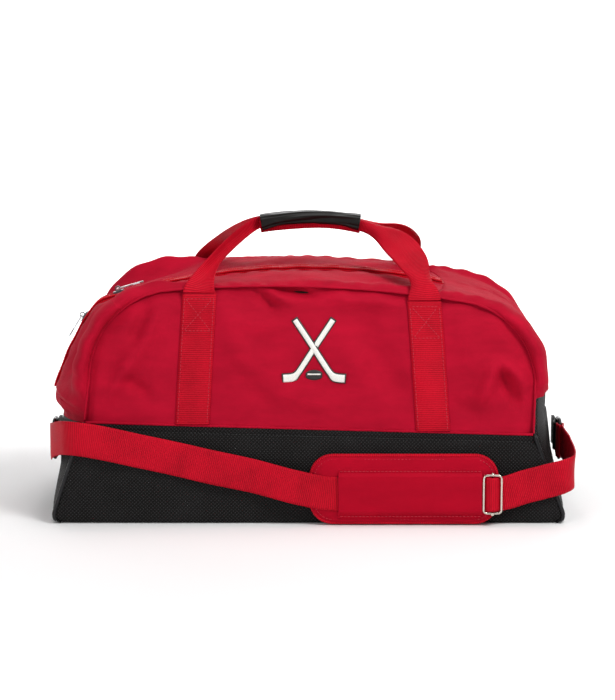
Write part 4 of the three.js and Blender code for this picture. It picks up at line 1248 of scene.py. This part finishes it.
def zip_teeth(side):
    """Coil of the zip: one bean of nylon for each turn, laid across the coil, every other pitch on each side.

    A bean is five rings of eight points round a line that arches over the cord in the coil.
    """
    bare_end, bean = 12, 0.62
    starts = np.arange(bare_end, ZIP_LENGTH - bare_end, COIL_PITCH) + (COIL_PITCH / 2 if side > 0 else 0)
    middle, out = zip_places(starts)
    share = np.linspace(0, 1, 5)
    y = side * mix(-0.35, COIL_HALF, share)
    rise = 1.0 + 1.25 * np.sin(np.pi * share)
    centre = middle[:, None] + out[:, None] * rise[None, :, None]
    centre[..., 1] = y
    turn = np.arange(8) * np.pi / 4
    along = np.cross(out, (0.0, 1.0, 0.0))
    size = np.array([0.6, 1, 1, 1, 0.6])[None, :, None, None]
    points = (centre[:, :, None] + along[:, None, None] * bean * np.cos(turn)[:, None] * size
              + out[:, None, None] * bean * np.sin(turn)[:, None] * size)
    return put_mesh(f"zip_coil_{word_of(side)}_turns", points, tube_faces(len(starts), 5, 8))


def zip_edge(side):
    """Folded edge of the gusset beside the zip: a soft roll of red cloth along the tape."""
    distance = np.linspace(2, ZIP_LENGTH - 2, 400)
    middle, out = zip_places(distance)
    line = middle + out * (1.9 + 0.35 * np.sin(distance / 6.3))[:, None]
    line[:, 1] = side * (10.2 + 0.5 * np.sin(distance / 23))
    roll = swept(f"zip_edge_{word_of(side)}", line, round_section(1) * (3.8, 1.5), (0, 1, 0))
    row = line + out * 1.0
    row[:, 1] = side * 11.4
    return roll, stitch_row(f"zip_stitches_{word_of(side)}", row, out)


def zip_tab(name, distance):
    """Stitched tab of red cloth over an end of the zip: a small flat pillow that follows its curve."""
    a, b = grid(14, 30)
    middle, out = zip_places(distance + (a - 0.5) * 8)
    y = mix(-TAPE_HALF + 1, TAPE_HALF - 1, b)
    edge = np.minimum(np.minimum(a, 1 - a) * 3, np.minimum(b, 1 - b) * 8)
    rise = 1.4 + 1.5 * smooth(edge, 0, 0.6)
    outer = middle + out * rise[..., None]
    inner = middle + out * 1.2
    outer[..., 1] = y
    inner[..., 1] = y
    return cloth_between(name, outer, inner, np.stack([a * 8, y], axis=-1))


class HoldallZip(bpy.types.Operator):
    """Zip along the middle: tapes, coils, folded edges, end tabs, sliders and pullers"""

    bl_idname = "holdall.zip"
    bl_label = "Zip"

    def execute(self, context):
        for side, word in SIDES:
            tape = fitted(zip_tape(side), zip_cloth(), "bag", "zip_red", f"zip_tape_{word}")
            fitted(zip_teeth(side), coil_nylon(), "bag", "zip_red", f"zip_coil_{word}")
            roll, stitches = zip_edge(side)
            fitted(roll, zip_cloth(), "bag", "zip_red")
            fitted(stitches, red_thread(), "bag", "zip_red")
        for place, distance, node in (("foot", 6, "left"), ("head", ZIP_LENGTH - 7, "right")):
            fitted(zip_tab(f"zip_tab_{place}", distance), red_webbing(), "bag", "red_cloth",
                   f"zip_end_tab_{node}")
        for part, maker in (("slider", slider_zinc), ("puller", puller_zinc)):
            for place in ("end", "top"):
                coated(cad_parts[f"zip_{part}_{place}"], maker())
        return {"FINISHED"}


# ---- carrying handles ----


def leg_top(x):
    """Height of a leg's top: a little below the crown's arc."""
    dx = x - FRONT_CROWN_X
    return FRONT_CROWN_Z + np.sqrt(FRONT_CROWN_RADIUS ** 2 - dx * dx) - LEG_TOP_DROP


def leg_place(line, side, up, across, out):
    """A place on a leg: up runs from 0 at the base seam to 1 at its top, and across is in millimetres."""
    middle = mix(line[0], line[1], up)
    x = middle + across
    z = mix(seam_height(middle) + 1, leg_top(line[1]), up)
    y = side * (wall_out(x, z, side) + out)
    return np.stack([x, y, z + back_lift(z, side) * up], axis=-1)


def handle_leg(line, side, name):
    """Webbing sewn up a panel: it follows the wall's folds, cupped a little across its width."""
    a, b = grid(120, 15)
    across = (b - 0.5) * (WEBBING_WIDTH - 0.6)
    cup = GAP + WEBBING + 0.35 * np.cos(np.pi * (b - 0.5)) - 0.5 * (abs(b - 0.5) > 0.49)
    points = leg_place(line, side, a, across, cup)
    length = (leg_top(line[1]) - seam_height(line[0])) * a
    return cloth_piece(name, points, np.stack([length, across], axis=-1), WEBBING)


def leg_stitches(line, side, name):
    """Stitching of a leg: a row up each edge, and a box with a cross near the top."""
    rows = []
    edge, low, high, half = 17.0, 0.72, 0.96, 15.5
    up = np.linspace(0.01, 0.97, 90)
    level = np.linspace(0, 1, 40)
    rising, widening = mix(low, high, level), mix(-half, half, level)
    runs = [(up, np.full(90, -edge)), (up, np.full(90, edge)), (np.full(40, low), widening),
            (np.full(40, high), widening), (rising, widening), (rising, mix(half, -half, level))]
    for k, (height, across) in enumerate(runs):
        place = leg_place(line, side, height, across, GAP + WEBBING + 0.2)
        normal = np.broadcast_to((0.0, float(side), 0.0), place.shape)
        rows.append(stitch_row(f"{name}_{k}", place, normal))
    return joined(name, rows)


def grip_end(direction):
    """The grip's left or right end on its arc, and the arc's slope there."""
    turn = np.degrees(GRIP_LENGTH / 2 / GRIP_RADIUS)
    x, z = circle_point((GRIP_MIDDLE, GRIP_CROWN - GRIP_RADIUS), GRIP_RADIUS, direction * turn)
    return np.array([x, 0, z]), np.radians(turn)


def handle_loop(line, direction, side, name):
    """Free webbing from a leg to the grip.

    Its line is a cubic curve. Its width turns from level at the leg to leaning in the grip, and its
    profile goes from flat to a deep trough, as webbing folds in two, while it narrows towards the grip.
    """
    z = leg_top(line[1])
    tilt = np.radians(FOLDED_TILT)
    low = np.array([line[1], side * (wall_out(np.array(line[1]), np.array(z), side) + GAP + WEBBING / 2),
                    z + (side > 0) * BACK_RISE])
    high, turn = grip_end(direction)
    high[1] = side * 8.0
    rise = unit(np.array([0, -side * 0.06, 1.0]))
    flat = np.array([np.cos(turn), 0, -direction * np.sin(turn)])
    leg_reach, grip_reach = LOOP_REACH[direction]
    knots = [low + rise * 0.6, low + rise * leg_reach, high + flat * direction * grip_reach,
             high - flat * direction * 3]
    t = np.linspace(0, 1, 110)[:, None]
    path = cubic(knots, t)
    over = np.array([0, -side * direction * np.cos(tilt), direction * np.sin(tilt)])
    twist = (0.0, 0.55) if direction < 0 else (0.1, 0.85)
    across = mix(np.array([1.0, 0, 0]), over, smooth(t, *twist))
    pinch = smooth(t[:, 0], -0.05, 0.4) if direction < 0 else 0.6 * hump(t[:, 0], 0.2, 0.12)
    fold = np.maximum(pinch, smooth(t[:, 0], 0.5, 0.95))
    width = mix(WEBBING_WIDTH - 0.6, FOLDED_WIDTH - 2, fold)
    depth = mix(0.5, 9.0, fold ** 1.3)
    s = np.linspace(-1, 1, 15)
    x = width[:, None] / 2 * s
    ripple = 0.5 * np.sin(9 * t + 5 * s) * np.sin(np.pi * t)
    y = depth[:, None] * (s ** 2 - 0.5) * -side * direction + ripple
    half = mix(WEBBING, WEBBING * 0.95, fold)[:, None] / 2
    return swept(name, path, strip_section(x, y + half, y - half), across), path[0], path[-1]


def grip_bend(x, y, z):
    """Lays a straight piece on the arc of the grip."""
    turn = x / GRIP_RADIUS
    radius = GRIP_RADIUS + z
    return np.stack([GRIP_MIDDLE + radius * np.sin(turn), y,
                     GRIP_CROWN - GRIP_RADIUS + radius * np.cos(turn)], axis=-1)


def grip_wrap():
    """Padded wrap round both handles.

    A superellipse section is carried along the grip's arc. It is thinner in the middle, flares at both
    ends, has creases that run along it and sits a little lower at both ends. Its wall is 2.6 mm thick.
    """
    a, b = grid(110, 97)
    x = (a - 0.5) * (GRIP_LENGTH - 3)
    turn = b * 2 * np.pi
    ends = hump(a, 0, 0.12) + hump(a, 1, 0.12)
    wide = 18.0 + 1.3 * ends
    tall = 7.6 + 2.2 * ends
    side, up = np.cos(turn), np.sin(turn)
    power, middle, wall = 0.62, 1.8, 2.6
    y = wide * np.sign(side) * abs(side) ** power
    z = middle + tall * np.sign(up) * abs(up) ** power - 0.8 * ends
    crease = (1.4 * np.sin(7 * turn + 1.2 * np.sin(x / 21)) * np.sin(np.pi * a) ** 0.5
              + 0.6 * np.sin(13 * turn + x / 12) + 0.6 * np.sin(x / 7 + 3 * turn) * np.sin(x / 19))
    swell = 1 + crease / 22
    outer = grip_bend(x, y * swell, middle + (z - middle) * swell)
    shrink = 1 - wall / np.hypot(y, z)
    inner = grip_bend(x, y * shrink, middle + (z - middle) * shrink)
    ring = closed_rows(numbers(len(a), len(a[0]) - 1))
    count = ring[:, :-1].size
    faces = [quads(ring), quads(ring + count)[:, ::-1]]
    for row, turned in ((ring[0], 1), (ring[-1], -1)):
        faces.append(np.stack([row[1:], row[:-1], row[:-1] + count, row[1:] + count], axis=-1)[:, ::turned])
    points = np.concatenate([outer[:, :-1].reshape(-1, 3), inner[:, :-1].reshape(-1, 3)])
    return put_mesh("grip_wrap", points, [np.concatenate(faces)])


def grip_core(side):
    """One handle's folded webbing inside the grip: its lower edge shows below the wrap."""
    a, b = grid(80, 9)
    x = (a - 0.5) * (GRIP_LENGTH + 2)
    up = mix(-11.3, 3, b)
    lean = side * (9.5 + 0.35 * up)
    half_fold, ripple = side * WEBBING, 0.5 * np.sin(x / 15)
    outer = grip_bend(x, lean + half_fold, up + ripple)
    inner = grip_bend(x, lean - half_fold, up + ripple)
    return cloth_between(f"grip_core_{word_of(side)}", outer, inner, np.stack([x, up], axis=-1))


class HoldallHandles(bpy.types.Operator):
    """Carrying handles: four legs sewn up the panels, four free loops and the padded grip round them"""

    bl_idname = "holdall.handles"
    bl_label = "Handles"

    def execute(self, context):
        for side, word in SIDES:
            for place, line, direction in (("left", LEG_LEFT, -1), ("right", LEG_RIGHT, 1)):
                name = f"{word}_{place}"
                leg = fitted(handle_leg(line, side, f"leg_webbing_{name}"), red_webbing(), "bag",
                             "webbing_red", f"handle_leg_{name}")
                fitted(leg_stitches(line, side, f"leg_stitches_{name}"), red_thread(), "bag", "webbing_red")
                loop, start, end = handle_loop(line, direction, side, f"loop_webbing_{name}")
                fitted(loop, red_webbing(), None, "webbing_red", f"handle_loop_{name}")
                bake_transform(loop)
            fitted(grip_core(side), red_webbing(), "grip", "webbing_red", f"handle_core_{word}")
        wrap = fitted(grip_wrap(), grip_leather(), "grip", "grip_black", "handle_grip")
        return {"FINISHED"}


# ---- rings, strap, pad and adjuster ----


def wire_frame(name, centre, size, wire, radius, upright, normal):
    """Wire bent into a rectangle with round corners. upright stands its flat line up, facing normal."""
    line = evenly_round(rounded_box_line(size[0] - wire, size[1] - wire, radius, 56), 200)
    return swept(name, upright(line) + centre, round_section(wire / 2, 14), normal, closed=True)


def strap_ring(word, x):
    """Rectangular wire ring of a strap's end."""
    size = (2 * RING_HALF, WEBBING_WIDTH + 2 * (1 + RING_WIRE))
    return wire_frame(f"ring_wire_{word}", (x, RING_Y, RING_Z), size, RING_WIRE, 6, upright_along_y,
                      (1, 0, 0))


def hairpin(name, x, y, loop, bar, tail, width, direction, wide=0.35):
    """Webbing folded round a ring's bar: out along one tail, round a half circle and back along the other.

    Its line is seen from above. The section is the webbing's width and thickness. wide is the share of
    the loop that keeps its full width.
    """
    radius = bar / 2 + WEBBING / 2
    turn = np.linspace(-np.pi / 2, np.pi / 2, 30)
    bend = np.stack([radius * np.sin(turn), radius * np.cos(turn)], axis=-1)
    neck = WEBBING / 2 + 0.12
    side = np.array([(neck, -loop - tail), (neck, -loop - radius * 0.9), (radius, -loop * wide)])
    line = smooth_line(np.concatenate([side * (-1, 1), bend[2:-2:5], side[::-1]]), 90)
    path = np.stack([x + line[:, 0] * direction, y + line[:, 1] * direction, np.full(90, RING_Z)], axis=-1)
    s = np.linspace(-1, 1, 11)
    section = strip_section(s * width / 2, 0 * s + WEBBING / 2, 0 * s - WEBBING / 2)
    return swept(name, path, section[None], (0, 0, 1))


def strap_points():
    """Route of the strap, from the left ring round the corner, along the base, through the pad's sleeve,
    over the adjuster's bar and round the right corner. It repeats the route of the CAD strap."""
    front = STRAP_FRONT
    over = ADJUSTER_Y - ADJUSTER_WIRE / 2 - WEBBING / 2 - 0.85
    start = FRONT_BAR - 7 - 2.9 - WEBBING - 0.5 - 1.0
    beside = -HALF_DEPTH - 6
    ring_side = WEBBING / 2 + 0.15
    left, right, threads = -HALF_LEFT, HALF_RIGHT, ADJUSTER_LENGTH / 2
    return [
        (RING_X[0] - ring_side, start, RING_Z),
        (RING_X[0] - ring_side, start - 9, RING_Z),
        (left - 7, 74 - HALF_DEPTH, RING_Z + 4),
        (left - 2, 48 - HALF_DEPTH, 90),
        (left + 10, 18 - HALF_DEPTH, 98),
        (left + 18, 4 - HALF_DEPTH, 100.5),
        (left + 30, -4 - HALF_DEPTH, 101),
        (left + 47, beside, 99),
        (left + 107, beside, 86.5),
        (left + 182, beside, 69.5),
        (-60, beside - 0.5, 57.3),
        (-36, front + 2.3, 51.7),
        (-18, front, 47.2),
        (0, front, 43),
        (18, front, 39.4),
        (34, front, STRAP_Z),
        (100, front, STRAP_Z),
        (180, front, STRAP_Z),
        (ADJUSTER_X - threads - 1.5, front, STRAP_Z),
        (ADJUSTER_X - threads + 2.5, front - 0.2, STRAP_Z),
        (ADJUSTER_X - threads / 2, (front + over) / 2, STRAP_Z),
        (ADJUSTER_X - 2.6, over + 0.9, STRAP_Z),
        (ADJUSTER_X, over, STRAP_Z),
        (ADJUSTER_X + 2.6, over + 0.9, STRAP_Z),
        (ADJUSTER_X + threads / 2, (front + over) / 2, STRAP_Z),
        (ADJUSTER_X + threads - 2.5, front - 0.2, STRAP_Z),
        (ADJUSTER_X + threads + 3.5, front + 0.7, STRAP_Z + 1),
        (right - 65, front + 2.3, 40.8),
        (right - 51, beside - 1.8, 45),
        (right - 28, beside - 1.2, 51),
        (right - 5, beside + 0.5, 57),
        (right + 6, 4 - HALF_DEPTH, 60),
        (right + 10.5, 30 - HALF_DEPTH, 65),
        (right + 10, 60 - HALF_DEPTH, 71),
        (RING_X[1] + ring_side + 1.2, 80 - HALF_DEPTH, RING_Z - 2),
        (RING_X[1] + ring_side, start - 9, RING_Z),
        (RING_X[1] + ring_side, start, RING_Z),
    ]


def strap_cloth():
    """The strap's webbing, upright against the bag: slack waves run along it where it hangs free."""
    path = smooth_line(strap_points(), 900)
    far = lengths_along(path)
    run = unit(np.gradient(path, axis=0))
    level = unit(np.stack([run[:, 1], -run[:, 0], 0 * far], axis=-1))
    across = np.cross(level, run)
    s = np.linspace(-1, 1, 13)
    free = (smooth(far, 120, 190) * (1 - smooth(far, 330, 400))
            + smooth(far, 690, 730) * (1 - smooth(far, 780, 800)))
    cupped, tipped = np.sin(far / 14)[:, None] * s ** 2, np.sin(far / 29 + 1)[:, None] * s
    wave = free[:, None] * (0.9 * cupped + 0.7 * tipped)
    x = np.broadcast_to(s * (WEBBING_WIDTH - 0.5) / 2, wave.shape)
    edge = WEBBING / 2 - 0.25 * (abs(s) > 0.99)
    return swept("strap_cloth", path, strip_section(x, wave + edge, wave - edge), across), far[-1]


def inflated(obj, pressure, frames, cap, voxel):
    """Remeshes a closed piece, blows it up as cloth under pressure, and holds each point within cap."""
    modifier = obj.modifiers.new("remesh", "REMESH")
    modifier.mode = "VOXEL"
    modifier.voxel_size = voxel * MM
    applied(obj)
    start = vertex_array(obj)
    cloth = obj.modifiers.new("cloth", "CLOTH")
    cloth.settings.use_pressure = True
    cloth.settings.uniform_pressure_force = pressure
    cloth.settings.effector_weights.gravity = 0
    cloth.settings.quality = 6
    cloth.point_cache.frame_start = 1
    cloth.point_cache.frame_end = frames
    for number in range(1, frames + 1):
        bpy.context.scene.frame_set(number)
    applied(obj)
    bpy.context.scene.frame_set(1)
    moved = vertex_array(obj) - start
    length = np.linalg.norm(moved, axis=1, keepdims=True)
    moved *= np.minimum(1, cap * MM / np.maximum(length, 1e-9))
    obj.data.vertices.foreach_set("co", (start + moved).ravel())
    smooth_out = obj.modifiers.new("finer", "SUBSURF")
    smooth_out.levels = 1
    smooth_out.render_levels = 1
    applied(obj)
    obj.data.shade_smooth()
    return obj


def applied(obj):
    """Makes the result of an object's modifiers its mesh."""
    bpy.context.view_layer.update()
    shown = obj.evaluated_get(bpy.context.evaluated_depsgraph_get())
    mesh = bpy.data.meshes.new_from_object(shown)
    obj.modifiers.clear()
    obj.data = mesh
    mesh.name = obj.name


def vertex_array(obj):
    """Places of an object's vertices."""
    flat = np.empty(len(obj.data.vertices) * 3)
    obj.data.vertices.foreach_get("co", flat)
    return flat.reshape(-1, 3)


def pad_outline(inset, count):
    """The pad's outline in X and Z, drawn in by inset: a rectangle with large round corners."""
    line = rounded_box_line(PAD_SIZE[0] - 2 * inset, PAD_SIZE[1] - 2 * inset, PAD_CORNER - inset * 0.6, 64)
    return evenly_round(line, count) + PAD_MIDDLE


def pad_body():
    """Foam pad before it is blown up: its outline drawn in towards both faces in rings, thinner at its
    bound edge."""
    insets = np.array([0.0, 1.6, 8, 9, 14, 24, 36])
    depths = np.array([2.6, 3.4, 2.9, 3.2, 3.9, 4.0, 4.0])
    count = 160
    rings = []
    for inset, half in [*zip(insets, depths)][::-1] + [*zip(insets, -depths)]:
        x, z = pad_outline(inset, count).T
        rings.append(np.stack([x, np.full(count, PAD_MIDDLE_Y + half), z], axis=-1))
    return put_mesh("pad_body", np.concatenate(rings), tube_faces(1, len(rings), count))


def pad_cover():
    """Cover stitched on the pad's front: a raised cloth rectangle, hollow along its hems, over the strap."""
    a, b = grid(150, 60)
    x = mix(*SLEEVE, a)
    half = 29
    z = STRAP_Z + mix(-half, half, b)
    to_hem = half - abs(z - STRAP_Z)
    edge = np.minimum(np.minimum(x - SLEEVE[0], SLEEVE[1] - x) * 2, to_hem)
    rise = 3.9 * smooth(to_hem, 2, 9) + 0.7 - 0.5 * hump(to_hem, 4, 1.2)
    sag = 0.35 * np.sin(x / 16) * np.sin((z - STRAP_Z) / 14) + 0.4 * hump(x, 92, 9) - 0.3 * hump(x, 140, 14)
    y = PAD_FRONT - GAP - rise - sag * smooth(edge, 0, 8)
    outer = np.stack([x, y, z], axis=-1)
    return cloth_between("pad_cover", outer, outer + (0, CLOTH, 0), np.stack([x, z], axis=-1))


def pad_stitches():
    """Stitch rows of the pad: one inside the bound edge, and one down each side of the cover."""
    outline = pad_outline(5.2, 300)
    outline = np.concatenate([outline, outline[:1]])
    edge = upright_along_x(outline) + (0, PAD_FRONT + 1.2, 0)
    out = np.broadcast_to((0.0, -1.0, 0.0), edge.shape)
    rows = [stitch_row("pad_stitches_0", edge, out)]
    for k, z in enumerate((STRAP_Z - 26.5, STRAP_Z + 26.5)):
        x = np.linspace(SLEEVE[0] + 1, SLEEVE[1] - 1, 60)
        line = np.stack([x, np.full(60, PAD_FRONT - 1.6), np.full(60, z)], axis=-1)
        rows.append(stitch_row(f"pad_stitches_{k + 1}", line, out[:60]))
    return joined("pad_stitches", rows)


def pad_binding():
    """Bound edge of the pad: a folded tape round its outline, as a flattened tube."""
    outline = pad_outline(1.4, 320)
    line = upright_along_x(outline) + (0, PAD_MIDDLE_Y + 0.6, 0)
    return swept("pad_binding", line, round_section(1, 14) * (3.5, 2.0), (0, 1, 0), closed=True)


def adjuster_bar():
    """The adjuster's bar with its two round ends, as one turned profile along Z."""
    ball = 2.5
    turn = np.linspace(np.pi * 0.06, np.pi * 0.86, 12)
    ball_z = ADJUSTER_HEIGHT / 2 - 0.6 + ball * np.cos(turn)
    ball_radius = ball * np.sin(turn)
    z = np.concatenate([-ball_z, [0], ball_z[::-1]])
    radius = np.concatenate([ball_radius, [ADJUSTER_WIRE / 2], ball_radius[::-1]])
    path = np.stack([np.full(len(z), ADJUSTER_X), np.full(len(z), ADJUSTER_Y), STRAP_Z + z], axis=-1)
    return swept("adjuster_cross_bar", path, round_section(radius, 16), (1, 0, 0))


class HoldallStrap(bpy.types.Operator):
    """Shoulder strap: rings and tabs, the webbing and its folded ends, the pad, its cover and the adjuster"""

    bl_idname = "holdall.strap"
    bl_label = "Strap"

    def execute(self, context):
        for word, x in zip(("left", "right"), RING_X):
            fitted(strap_ring(word, x), ring_enamel(), "strap", "ring_black", f"strap_ring_{word}")
            tab = hairpin(f"tab_webbing_{word}", x, REAR_BAR - TAB_LOOP, 14, RING_WIRE + 1, 38,
                          WEBBING_WIDTH - 6, -1, wide=0.85)
            fitted(tab, black_webbing(), "bag", "black_cloth", f"ring_tab_{word}")
            fitted(hairpin(f"strap_end_{word}", x, FRONT_BAR, 10, RING_WIRE + 1.4, 3, WEBBING_WIDTH, 1),
                   red_webbing(), "strap", "webbing_red", f"strap_fold_{word}")
        strap, length = strap_cloth()
        fitted(strap, red_webbing(), "strap", "webbing_red", "strap_webbing")
        pad = inflated(pad_body(), 4, 20, 1.4, 3.0)
        fitted(pad, pad_cloth(), "pad", "red_cloth", "strap_pad")
        fitted(pad_binding(), red_webbing(), "pad", "webbing_red")
        cover = fitted(pad_cover(), pad_cloth(), "pad", "red_cloth", "pad_sleeve")
        fitted(pad_stitches(), red_thread(), "pad", "webbing_red")
        wire = wire_frame("adjuster_wire", (ADJUSTER_X, ADJUSTER_Y, STRAP_Z),
                          (ADJUSTER_LENGTH, ADJUSTER_HEIGHT), ADJUSTER_WIRE, 4, upright_along_x, (0, 1, 0))
        fitted(wire, bright_steel(), "adjuster", "steel_bright", "adjuster_frame")
        fitted(adjuster_bar(), bright_steel(), "adjuster", "steel_bright", "adjuster_bar")
        return {"FINISHED"}


# ---- emblem ----


def emblem_shape(name, line, width, out):
    """A band of satin stitches along a flat line on the front panel: each stitch crosses the band.

    Its profile is a low arch. Threads run across it, one for each step along the line.
    """
    line = np.asarray(line, float) + EMBLEM
    x, z = line.T
    path, _ = wall_line(x, z, -1, out)
    s = np.linspace(-1, 1, 7)
    thread_step = 1.1
    ridge = 0.16 * np.cos(lengths_along(path) * 2 * np.pi / thread_step)[:, None]
    width = np.broadcast_to(width, len(path))[:, None]
    across = np.broadcast_to(s, (len(path), 7)) * width / 2
    arch = 0.75 * (1 - s ** 2) + ridge * (1 - s ** 2)
    section = strip_section(across, -arch - 0.2, 0 * across + 0.7)
    return swept(name, path, section, np.cross(unit(np.gradient(path, axis=0)), (0, -1, 0)))


def stick_line(direction):
    """A hockey stick's middle line: a straight shaft that turns into its blade on a short curve."""
    knots = [(23, 38), (12, 22), (0.5, 5), (-12, -14), (-19, -24), (-24, -28.5), (-37, -30)]
    return smooth_line(np.multiply(knots, (direction, 1)), 120)


class HoldallEmblem(bpy.types.Operator):
    """Embroidered emblem: two crossed sticks and a puck, in white thread edged with black"""

    bl_idname = "holdall.emblem"
    bl_label = "Emblem"

    def execute(self, context):
        edges, bands = [], []
        for k, direction in enumerate((1, -1)):
            line = stick_line(direction)
            blade = smooth(np.linspace(0, 1, len(line)), 0.72, 0.86)
            edges.append(emblem_shape(f"emblem_edge_{k}", line, 8.6 + 3.0 * blade, 0.45 + 0.5 * k))
            width = (5.8 + 3.0 * blade)[2:-2]
            bands.append(emblem_shape(f"emblem_band_{k}", line[2:-2], width, 1.0 + 0.5 * k))
        x = np.linspace(-9.5, 9.5, 40)
        round_ends = np.sqrt(np.clip(1 - (x / 10.5) ** 2, 0, 1))
        puck, line = np.stack([x, 0 * x - 26], axis=-1), np.stack([x * 0.8, 0 * x - 25], axis=-1)
        edges.append(emblem_shape("emblem_puck_black", puck, 12 * round_ends, 0.8))
        bands.append(emblem_shape("emblem_puck_line", line, 2.0, 1.5))
        fitted(joined("emblem_edges", edges), black_thread(), "bag", "thread_black", "emblem_puck")
        fitted(joined("emblem_bands", bands), white_thread(), "bag", "thread_white", "emblem_sticks")
        return {"FINISHED"}


# ---- studio ----


def studio_floor():
    """Paper that runs from in front of the bag back and up: flat, then a quarter circle, then upright."""
    a, b = grid(60, 3)
    radius, flat, back, rise, half_width = 900.0, 2400.0, 2600.0, 1500, 5000
    along = a * (flat + back + radius * np.pi / 2 + rise)
    bend = np.clip((along - flat - back) / radius, 0, np.pi / 2)
    after = np.maximum(along - flat - back - radius * np.pi / 2, 0)
    y = np.minimum(along, flat + back) - flat + radius * np.sin(bend)
    z = radius * (1 - np.cos(bend)) + after
    points = np.stack([mix(-half_width, half_width, b), y, z], axis=-1)
    return put_mesh("floor", points, [quads(numbers(*a.shape))])


def soft_light(name, place, size, power, target=LIT_POINT):
    """A rectangular soft box aimed at a point, all in metres."""
    data = bpy.data.lights.new(name, "AREA")
    data.shape = "RECTANGLE"
    data.size, data.size_y = size
    data.energy = power
    aimed(name, data, place, target)


def aimed(name, data, place, target):
    """A camera or light at a place, with its -Z axis towards the target."""
    obj = bpy.data.objects.new(name, data)
    bpy.context.scene.collection.objects.link(obj)
    obj.location = place
    obj.rotation_euler = (Vector(target) - Vector(place)).to_track_quat("-Z", "Y").to_euler()
    return obj


class HoldallStage(bpy.types.Operator):
    """Camera, pale paper floor and soft studio lights"""

    bl_idname = "holdall.stage"
    bl_label = "Studio"

    def execute(self, context):
        scene = context.scene
        data = bpy.data.cameras.new("camera")
        data.lens = CAMERA_LENS
        data.sensor_width = CAMERA_SENSOR
        distance = sizes().camera_distance
        x, y, z = CAMERA_TARGET
        place = (x, y - distance * np.cos(CAMERA_ELEVATION), z + distance * np.sin(CAMERA_ELEVATION))
        scene.camera = aimed("camera", data, place, CAMERA_TARGET)
        floor = studio_floor()
        coated(floor, studio_paper())
        soft_light("key", (1.3, -1.3, 2.0), (0.8, 0.8), 37)
        soft_light("fill", (-1.4, -2.0, 0.9), (1.2, 1.2), 14)
        soft_light("top", (0.2, 0.2, 2.2), (1.6, 1.2), 16)
        soft_light("backdrop", (0, 1.0, 2.4), (4.0, 1.5), 190, (0, 4.5, 1.2))
        world = bpy.data.worlds.new("studio")
        world.use_nodes = True
        background = world.node_tree.nodes["Background"]
        set_sockets(world.node_tree, background, {"Color": (1, 1, 1, 1), "Strength": 0.33})
        scene.world = world
        scene.view_settings.view_transform = "Standard"
        return {"FINISHED"}


class HoldallPanel(bpy.types.Panel):
    """Lists the holdall's settings and pieces in the sidebar"""

    bl_idname = "VIEW3D_PT_holdall"
    bl_label = "Holdall"
    bl_space_type = "VIEW_3D"
    bl_region_type = "UI"
    bl_category = "Holdall"

    def draw(self, context):
        for group in (context.scene.holdall_sizes, context.scene.holdall_colours):
            column = self.layout.column()
            for name in group.__annotations__:
                column.prop(group, name)
        for operator in OPERATORS:
            self.layout.operator(operator.bl_idname)


OPERATORS = (HoldallStage, HoldallBase, HoldallPanels, HoldallZip, HoldallHandles, HoldallStrap,
             HoldallEmblem)
CLASSES = (HoldallSizes, HoldallColours, *OPERATORS, HoldallPanel)


def register():
    """Registers the classes and the settings kept with a scene."""
    for cls in CLASSES:
        bpy.utils.register_class(cls)
    bpy.types.Scene.holdall_sizes = PointerProperty(type=HoldallSizes)
    bpy.types.Scene.holdall_colours = PointerProperty(type=HoldallColours)


def unregister():
    """Takes the settings and the classes away again."""
    del bpy.types.Scene.holdall_colours
    del bpy.types.Scene.holdall_sizes
    for cls in reversed(CLASSES):
        bpy.utils.unregister_class(cls)


def main():
    """Makes the pieces in order."""
    register()
    for operator in OPERATORS:
        group, name = operator.bl_idname.split(".")
        getattr(getattr(bpy.ops, group), name)()


if __name__ == "__main__":
    main()
